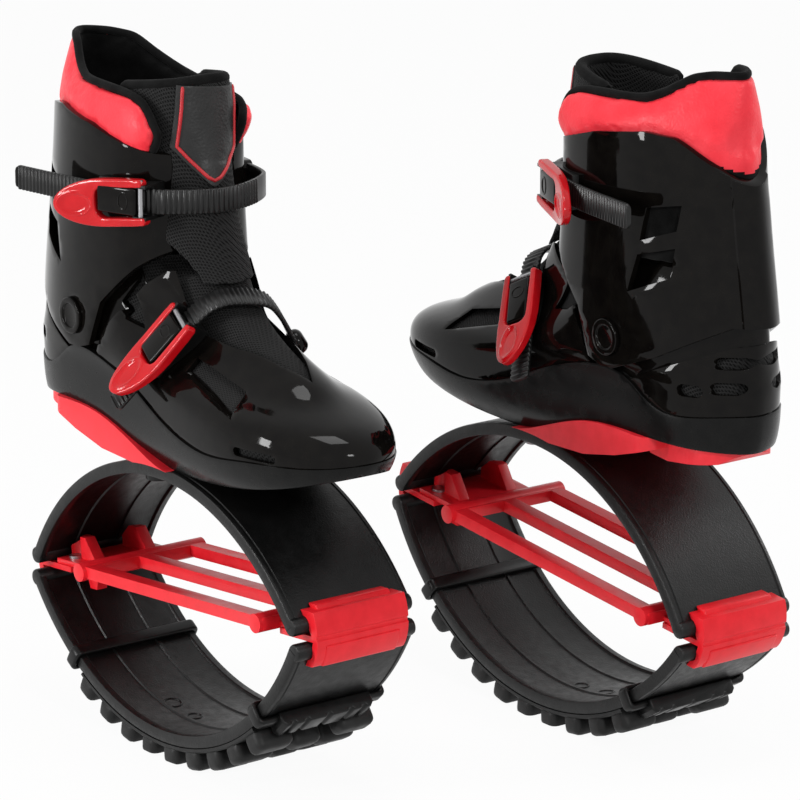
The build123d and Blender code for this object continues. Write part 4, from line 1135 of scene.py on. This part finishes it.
# %% [markdown]
# The collar and the tongue are foam pads with a cover. Each starts as a closed grid wrapped round
# the leg, a little slimmer than it should end. A short cloth simulation with inner pressure then
# swells it, and no point may move further than the room around it allows.

# %% Helpers for padded pieces


def between(table, place, column=1):
    """Value of a table's column at a place, straight between its rows."""
    if place <= table[0][0]:
        return table[0][column]
    for low, high in zip(table, table[1:]):
        if place <= high[0]:
            part = (place - low[0]) / (high[0] - low[0])
            return low[column] + (high[column] - low[column]) * part
    return table[-1][column]


def pad_grid(name, first, second, columns, rows):
    """A closed pad between two surfaces; each takes its place along and up, from 0 to 1."""
    points, faces = [], []
    for surface in (first, second):
        for j in range(rows + 1):
            points += [surface(k / columns, j / rows) for k in range(columns + 1)]
    wide = columns + 1
    layer = wide * (rows + 1)
    for j in range(rows):
        for k in range(columns):
            a = j * wide + k
            b, c, d = a + 1, a + wide + 1, a + wide
            faces += [(a, b, c, d), (layer + a, layer + d, layer + c, layer + b)]
    for k in range(columns):
        a, b = k, rows * wide + k
        faces += [(a, layer + a, layer + a + 1, a + 1), (b, b + 1, layer + b + 1, layer + b)]
    for j in range(rows):
        a, b = j * wide, j * wide + columns
        faces += [(a, a + wide, layer + a + wide, layer + a), (b, layer + b, layer + b + wide, b + wide)]
    return mesh_piece(name, points, faces)


def puff(piece, voxel, room, pressure=4.0):
    """Swells a pad by a cloth simulation; room gives how far each point may move."""
    even_net(piece, voxel, 2)
    mesh = piece.data
    before = [vertex.co.copy() for vertex in mesh.vertices]
    cloth = piece.modifiers.new("swell", "CLOTH")
    cloth.settings.use_pressure = True
    cloth.settings.uniform_pressure_force = pressure
    cloth.settings.effector_weights.gravity = 0
    cloth.point_cache.frame_start = 1
    cloth.point_cache.frame_end = 20
    for step in range(1, 21):
        bpy.context.scene.frame_set(step)
    swollen = piece.evaluated_get(bpy.context.evaluated_depsgraph_get()).data
    after = [vertex.co.copy() for vertex in swollen.vertices]
    piece.modifiers.remove(cloth)
    bpy.context.scene.frame_set(1)
    for vertex, old, new in zip(mesh.vertices, before, after):
        move = new - old
        most = room(old)
        if move.length > most:
            move *= most / move.length
        vertex.co = old + move
    finer = piece.modifiers.new("finer", "SUBSURF")
    finer.levels = 1
    finer.render_levels = 1
    apply_all(piece)
    for polygon in piece.data.polygons:
        polygon.use_smooth = True


def tube(name, route, radius, sides=10):
    """A closed round roll along a route, a little narrower at its ends."""
    sections = []
    normal = heading(route, 0).orthogonal().normalized()
    turns = [2 * math.pi * j / sides for j in range(sides)]
    for k, spot in enumerate(route):
        tangent = heading(route, k)
        normal = (normal - tangent * normal.dot(tangent)).normalized()
        side = tangent.cross(normal)
        size = radius * (0.55 if k in (0, len(route) - 1) else 1.0)
        sections.append([spot + (normal * math.cos(turn) + side * math.sin(turn)) * size for turn in turns])
    return along_route(name, route, sections, math.radians(60))


print("padding helpers are ready")

# %% [markdown]
# The collar wraps the leg and rises behind it. At each height it is a rounded oval that reaches
# from a back to a front place and out to a half width, and its top edge follows a line on the
# inner and one on the outer side. Leather covers its outside above the cuff, plush the rest.

# %% Shape of the collar, each row a height or place in metres
collar_levels = (
    (0.292, -0.149, -0.009, 0.0413), (0.320, -0.144, -0.010, 0.0408), (0.340, -0.1400, -0.0105, 0.0402),
    (0.349, -0.1392, -0.0070, 0.0396), (0.358, -0.1385, 0.0, 0.0393), (0.368, -0.1378, 0.006, 0.039),
    (0.380, -0.1382, 0.007, 0.036), (0.396, -0.1362, 0.007, 0.031), (0.408, -0.1338, 0.007, 0.0275),
)
inner_top_line = (
    (-0.137, 0.4014), (-0.120, 0.4012), (-0.105, 0.3996), (-0.095, 0.3925), (-0.085, 0.3870),
    (-0.075, 0.3828), (-0.060, 0.3790), (-0.0446, 0.3772), (-0.013, 0.3743), (0.007, 0.3648),
)
outer_top_line = (
    (-0.137, 0.4014), (-0.120, 0.4012), (-0.108, 0.3985), (-0.100, 0.3920), (-0.090, 0.3870),
    (-0.080, 0.3845), (-0.060, 0.3838), (-0.036, 0.3828), (-0.022, 0.3798), (-0.015, 0.3740),
    (-0.010, 0.3625), (-0.007, 0.3500),
)
cuff_top_line = (
    (-0.144, 0.354), (-0.131, 0.360), (-0.111, 0.367), (-0.093, 0.369), (-0.057, 0.364),
    (-0.0105, 0.351), (0.0, 0.345),
)
collar_bottom = 296 * mm
collar_thick = 7.6 * mm
leather_depth = 3.0 * mm
inner_slot, outer_slot = 25 * mm, 30.5 * mm
front_square, back_square = 3.4, 1.6


def collar_oval(z, inset):
    """Back, front and half width of the collar at a height, inside its outer face."""
    back, front, half = [between(collar_levels, z, column) for column in (1, 2, 3)]
    return back + inset, front - inset, half - inset


def collar_point(turn, z, inset):
    """A point on the collar at a turn round the leg and a height, inside its outer face."""
    back, front, half = collar_oval(z, inset)
    square = front_square if math.cos(turn) > 0 else back_square
    x = math.copysign(abs(math.cos(turn)) ** (2 / square), math.cos(turn))
    y = math.copysign(abs(math.sin(turn)) ** (2 / square), math.sin(turn))
    return Vector(((back + front) / 2 + (front - back) / 2 * x, half * y, z))


def collar_turn(u, z):
    """Turn round the leg at a share of the way from one front edge to the other."""
    half = max(collar_oval(z, 0)[2], outer_slot + 1 * mm)
    first, last = [math.asin((slot / half) ** (front_square / 2)) for slot in (inner_slot, outer_slot)]
    return first + (2 * math.pi - first - last) * u


def collar_top(u, inset):
    """Height of the collar's top edge at a share of the way round."""
    line = outer_top_line if u > 0.5 else inner_top_line
    z = 380 * mm
    for _ in range(24):
        z = 0.7 * z + 0.3 * between(line, collar_point(collar_turn(u, z), z, inset).x)
    return z


def folds(u, t):
    """Soft upright folds of the lining at the back."""
    near = math.exp(-((u - 0.5) / 0.16) ** 2) * math.sin(math.pi * min(t * 1.15, 1)) ** 2
    return 1.5 * mm * near * math.sin(34 * u + 2.2 * math.sin(5 * t))


def collar_outside(u, t):
    """Outer face of the collar, bulging a little above the cuff."""
    z = collar_bottom + (collar_top(u, 0) - collar_bottom) * t
    bulge = 0.9 * mm * max(math.sin(math.pi * share(t, 0.45, 0.55)), 0)
    return collar_point(collar_turn(u, z), z, -bulge)


def collar_inside(u, t):
    """Inner face of the collar with the folds of its lining."""
    z = collar_bottom + (collar_top(u, collar_thick) - collar_bottom) * t
    return collar_point(collar_turn(u, z), z, collar_thick - 1.2 * mm + folds(u, t))


def collar_room(point):
    """How far a point of the collar may swell: hardly behind the cuff, more above it."""
    top = between(cuff_top_line, point.x)
    return 0.25 * mm if point.z < top + 2 * mm else 2.2 * mm


print("collar rises from", collar_bottom, "to", round(collar_top(0.5, 0), 4))

# %% Padded collar
collar = pad_grid("collar", collar_outside, collar_inside, 110, 34)
puff(collar, 3.0 * mm, collar_room)
collar.data.materials.append(finish["red_leather"])
collar.data.materials.append(finish["plush"])
for polygon in collar.data.polygons:
    spot = polygon.center
    back, front, half = collar_oval(spot.z, leather_depth)
    middle, reach = (back + front) / 2, (front - back) / 2
    square = front_square if spot.x > middle else back_square
    out = (abs(spot.x - middle) / reach) ** square + (abs(spot.y) / half) ** square
    hidden = spot.z < between(cuff_top_line, spot.x) - 8 * mm
    polygon.material_index = 1 if hidden or out <= 1 else 0
for one in both_shoes(collar, "cuff_body", ["liner_collar"]).values():
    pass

# %% Piping along the collar's edge
piping_steps, rim_steps = 150, 16
rim_low = 340 * mm
rims = []
for end in (0, 1):
    rim_high = collar_top(end, leather_depth)
    heights = [rim_low + (rim_high - rim_low) * k / rim_steps for k in range(rim_steps)]
    rim = [collar_point(collar_turn(end, z), z, leather_depth - 0.6 * mm) for z in heights]
    rims.append([spot + Vector((0.9 * mm, 0, 0)) for spot in rim])
crest = []
for k in range(piping_steps + 1):
    u = k / piping_steps
    z = collar_top(u, leather_depth)
    crest.append(collar_point(collar_turn(u, z), z + 0.3 * mm, leather_depth + 0.1 * mm))
route = rims[0] + crest + rims[1][::-1]
for _ in range(6):
    middles = [(a + b * 2 + c) / 4 for a, b, c in zip(route, route[1:], route[2:])]
    route = [route[0], *middles, route[-1]]
piping = tube("collar_piping", route, 2.4 * mm)
both_shoes(piping, "cuff_body", (), "plush")

# %% [markdown]
# The tongue is a pad too, bowed round the shin. It starts low in the boot, leans back with the leg
# and ends in a rolled hem.

# %% Shape of the tongue, each row a height and a length in metres or a turn in radians
tongue_front = (
    (0.276, 0.0290), (0.284, 0.0225), (0.292, 0.0182), (0.300, 0.0152), (0.323, 0.0103), (0.340, 0.0070),
    (0.350, 0.0050), (0.360, 0.0031), (0.370, 0.0014), (0.380, -0.0002), (0.390, -0.0015), (0.397, -0.0022),
)
tongue_half = ((0.276, 0.021), (0.290, 0.025), (0.305, 0.0285), (0.330, 0.030), (0.396, 0.031))
tongue_depth = ((0.276, 0.014), (0.292, 0.028), (0.310, 0.050), (0.330, 0.060), (0.396, 0.0595))
tongue_thick = ((0.276, 0.0022), (0.292, 0.003), (0.306, 0.0052), (0.396, 0.0058))
tongue_span = ((0.276, 0.9), (0.292, 1.0), (0.306, 1.28), (0.396, 1.30))
tongue_bottom = 279 * mm
tongue_hem = 394 * mm


def tongue_surface(u, t, inset):
    """A point of the tongue at a share across and a share up, inside its outer face."""
    across = 2 * u - 1
    high = tongue_hem - 7 * mm * abs(across) ** 2.2
    z = tongue_bottom + (high - tongue_bottom) * t
    turn = across * between(tongue_span, z)
    half = between(tongue_half, z) - inset
    depth = between(tongue_depth, z)
    front = between(tongue_front, z) - inset
    edge_fall = 1 - math.cos(between(tongue_span, z))
    flatness = 1 + 0.5 * share(z, 345 * mm, 30 * mm)
    fall = edge_fall * ((1 - math.cos(turn)) / edge_fall) ** flatness
    return Vector((front - depth * fall, half * math.sin(turn), z))


def tongue_outside(u, t):
    """Outer face of the tongue."""
    return tongue_surface(u, t, 0.3 * mm)


def tongue_inside(u, t):
    """Inner face of the tongue."""
    z = tongue_bottom + (tongue_hem - tongue_bottom) * t
    return tongue_surface(u, t, between(tongue_thick, z))


def tongue_room(point):
    """How far a point of the tongue may swell."""
    return 0.3 * mm if point.z < 345 * mm else 1.0 * mm


def tongue_bend(one, side):
    """Fixes the tongue where it stands, its place put into its mesh; it rides on no body."""
    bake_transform(one)


print("tongue rises from", tongue_bottom, "to", tongue_hem)

# %% Padded tongue with its hem
tongue = pad_grid("tongue", tongue_outside, tongue_inside, 56, 60)
puff(tongue, 2.4 * mm, tongue_room)
tongue_skin = bmesh.new()
tongue_skin.from_mesh(tongue.data)
tongue_tree = BVHTree.FromBMesh(tongue_skin)
tongue_skin.free()
for one in both_shoes(tongue, None, ["tongue"], "knit", tongue_bend).values():
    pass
hem = [tongue_surface(k / 60, 1, 2.9 * mm) - Vector((0, 0, 2.4 * mm)) for k in range(61)]
both_shoes(tube("tongue_hem", hem, 3.4 * mm, 12), "cuff_body", (), "plush")

# %% [markdown]
# A bare leather shield is sewn on the tongue, with a thin red line inside its edge. Its points are
# found by rays that come from the front and stop on the swollen tongue, so it follows every bulge.

# %% Leather shield on the tongue
shield_half = 20.5 * mm
shield_top, shield_shoulder, shield_tip = 388 * mm, 354 * mm, 333 * mm
shield_lean = math.radians(6)
shield_columns, shield_rows = 28, 46
line_inset, line_steps, point_steps = 2.6 * mm, 16, 12


def on_tongue(y, z, lift):
    """The place in front of the tongue at a sideways distance and height, lifted off its face."""
    level = z - (shield_top + shield_tip) / 2
    side = y * math.cos(shield_lean) + level * math.sin(shield_lean)
    high = z - y * math.sin(shield_lean)
    hit, normal, _, _ = tongue_tree.ray_cast(Vector((0.1, side, high)), Vector((-1, 0, 0)))
    return hit + normal * lift


def shield_width(z):
    """Half width of the shield at a height."""
    if z >= shield_shoulder:
        return shield_half
    part = (z - shield_tip) / (shield_shoulder - shield_tip)
    return shield_half * min(part ** 0.86 + 0.02, 1)


def shield_face(lift):
    """The shield's face at a lift, as a surface of a share across and a share up."""
    def face(u, t):
        z = shield_tip + (shield_top - shield_tip) * t
        return on_tongue(shield_width(z) * (2 * u - 1), z, lift)
    return face


shield = pad_grid("shield", shield_face(-0.8 * mm), shield_face(1.1 * mm), shield_columns, shield_rows)
round_edges(shield, 0.5 * mm, 2)
both_shoes(shield, None, (), "patch_leather", tongue_bend)

line_side = -shield_half + line_inset
point_length = shield_shoulder - shield_tip - 3.6 * mm
line = [(line_side, shield_top - 0.5 * mm)]
for k in range(1, line_steps + 1):
    line.append((line_side, shield_top - (shield_top - shield_shoulder) * k / line_steps))
for k in range(1, point_steps):
    z = shield_shoulder - point_length * k / point_steps
    line.append((line_inset * 1.15 - shield_width(z), z))
line.append((0, shield_tip + 3.3 * mm))
line += [(-y, z) for y, z in reversed(line[:-1])]
shield_line = tube("shield_line", [on_tongue(y, z, 1.2 * mm) for y, z in line], 1.05 * mm, 10)
both_shoes(shield_line, None, (), "shield_red", tongue_bend)

# %% [markdown]
# The inner boot keeps the frame's form. Its copy is cut into an even net and smoothed, which takes
# the hard edges off, as on a padded sock.

# %% Inner boot
liner = cad_copy("liner_foot")
even_net(liner, 2.6 * mm, 3)
for polygon in liner.data.polygons:
    polygon.use_smooth = True
for one in both_shoes(liner, "boot", ["liner_foot"], "knit").values():
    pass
